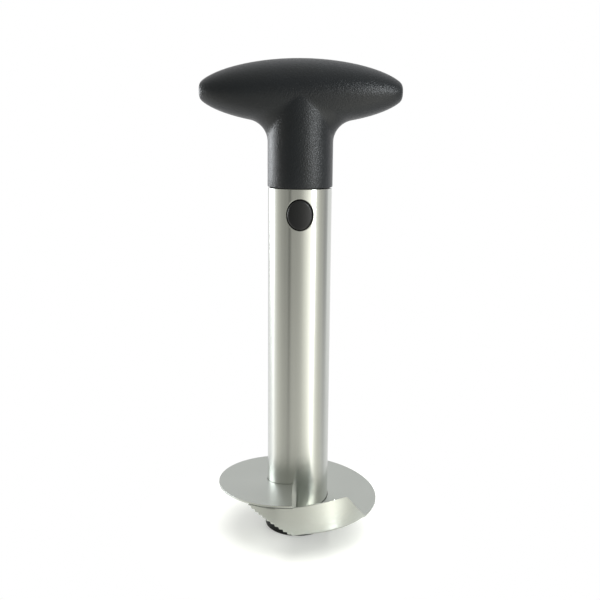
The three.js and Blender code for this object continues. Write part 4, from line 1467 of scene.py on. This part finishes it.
def floor_paint(tint):
    """Satin paper with a painted glow that only the camera sees, a little weaker behind, which
    lifts it to white; every other ray sees a darker copy of its colour, a painted shade in what
    mirrors it. It fades out at its edge.
    """
    def build(weave):
        here = weave.place()
        # Mask that is 1 behind, where less painted glow is added
        white = weave.step(weave.parts("ShaderNodeSeparateXYZ", here)[1], low=-0.12, high=0.2)
        fibres = weave.noise(here, scale=900, detail=2, roughness=0.6)
        seen = weave.node("ShaderNodeLightPath", out="Is Camera Ray")
        # Painted glow, seen only by the camera, that lifts the floor to white
        painted_glow = seen * (0.33 - 0.08 * white)
        return {
            # Painted shade: every ray but the camera's sees a darker copy of the floor's colour
            "Base Color": weave.mixed(seen, shade(tint, 0.75), shade(tint)),
            "Roughness": 0.13 + 0.03 * fibres,
            "Specular IOR Level": 1.0,
            "Alpha": 1 - weave.step(weave.outward(here), FLOOR_FADE, FLOOR_RADIUS),
            "Emission Color": weave.mixed(painted_glow, (0, 0, 0, 1), (1, 1, 0.99, 1)),
            "Emission Strength": 1.0,
        }
    return material("pale_paper", build)


class CORER_OT_stage(bpy.types.Operator):
    """Sets up the pale floor, the soft studio light and the camera"""
    bl_idname = "corer.stage"
    bl_label = "Stage"

    def lay_floor(self, scene):
        clear("floor")
        skin = Skin()
        skin.face([tube_point(FLOOR_RADIUS, TURN * i / FLOOR_SIDES, -FLOOR_DROP)
                   for i in range(FLOOR_SIDES)])
        floor = bpy.data.objects.new("floor", skin.mesh("floor", closed=False))
        scene.collection.objects.link(floor)
        floor.data.materials.append(floor_paint(scene.corer_stage.floor))

    def hang_lamps(self, look):
        key = lamp("right_softbox", "AREA", round_the_tool(52, distance=1.5, height=0.52), MIDDLE,
                   look.key, (0.38, 0.54), COOL_TINT)
        link_to_blade(key, "shaded_from_the_right", "EXCLUDE")
        spot = lamp("sheet_spot", "SPOT", round_the_tool(48, distance=0.3, height=0.24),
                    SHEET_FRONT, look.spot, (0.04, math.radians(8)), WARM_TINT)
        link_to_blade(spot, "lit_by_the_spot", "INCLUDE")
        lamp("left_softbox", "AREA", round_the_tool(-122, distance=1.5, height=0.26), MIDDLE,
             look.rim, (0.95, 0.36), COOL_TINT)
        lamp("sky", "SUN", (0.5, 0.3, 1.6), (0, 0, 0), look.sky, math.radians(85))

    def place_camera(self, scene):
        look = scene.corer_stage
        clear("camera")
        camera = bpy.data.objects.new("camera", bpy.data.cameras.new("camera"))
        scene.collection.objects.link(camera)
        camera.data.sensor_width = SENSOR
        camera.data.lens = look.lens
        camera.data.shift_x = CAMERA_SHIFT
        camera.data.clip_start = 10 * MM
        camera.location = CAMERA_PLACE
        aim = Matrix.Rotation(QUARTER - look.pitch, 4, "X") @ Matrix.Rotation(look.roll, 4, "Z")
        camera.rotation_euler = aim.to_euler()
        scene.camera = camera

    def execute(self, context):
        scene = context.scene
        self.lay_floor(scene)
        studio_world(scene)
        self.hang_lamps(scene.corer_stage)
        self.place_camera(scene)
        scene.view_settings.view_transform = "Standard"
        scene.view_settings.look = "None"
        return {"FINISHED"}


# Panel and registration
GROUPS = {
    "corer_tube": TubeSizes,
    "corer_blade": BladeSizes,
    "corer_guard": GuardSizes,
    "corer_handle": HandleSizes,
    "corer_latch": LatchSizes,
    "corer_colours": FinishColours,
    "corer_stage": StageLook,
}
OPERATORS = (
    CORER_OT_core_tube,
    CORER_OT_ring_blade,
    CORER_OT_weld_bead,
    CORER_OT_guard_cap,
    CORER_OT_handle_shells,
    CORER_OT_handle_screws,
    CORER_OT_latch_carrier,
    CORER_OT_cover_screws,
    CORER_OT_push_buttons,
    CORER_OT_button_springs,
    CORER_OT_stage,
)


class CORER_PT_sidebar(bpy.types.Panel):
    """Sizes, colours and pieces of the corer"""
    bl_idname = "CORER_PT_sidebar"
    bl_label = "Corer"
    bl_space_type = "VIEW_3D"
    bl_region_type = "UI"
    bl_category = "Corer"

    def draw(self, context):
        layout = self.layout
        for operator in OPERATORS:
            layout.operator(operator.bl_idname)
        for name in GROUPS:
            group = getattr(context.scene, name)
            box = layout.box()
            for size in group.bl_rna.properties.keys():
                if size not in ("rna_type", "name"):
                    box.prop(group, size)


def register():
    for item in (*GROUPS.values(), *OPERATORS, CORER_PT_sidebar):
        bpy.utils.register_class(item)
    for name, group in GROUPS.items():
        setattr(bpy.types.Scene, name, PointerProperty(type=group))


def unregister():
    for name in GROUPS:
        delattr(bpy.types.Scene, name)
    for item in reversed((*GROUPS.values(), *OPERATORS, CORER_PT_sidebar)):
        bpy.utils.unregister_class(item)


def main():
    register()
    bpy.ops.corer.core_tube()
    bpy.ops.corer.ring_blade()
    bpy.ops.corer.weld_bead()
    bpy.ops.corer.guard_cap()
    bpy.ops.corer.handle_shells()
    bpy.ops.corer.handle_screws()
    bpy.ops.corer.latch_carrier()
    bpy.ops.corer.cover_screws()
    bpy.ops.corer.push_buttons()
    bpy.ops.corer.button_springs()
    bpy.ops.corer.stage()


if __name__ == "__main__":
    main()
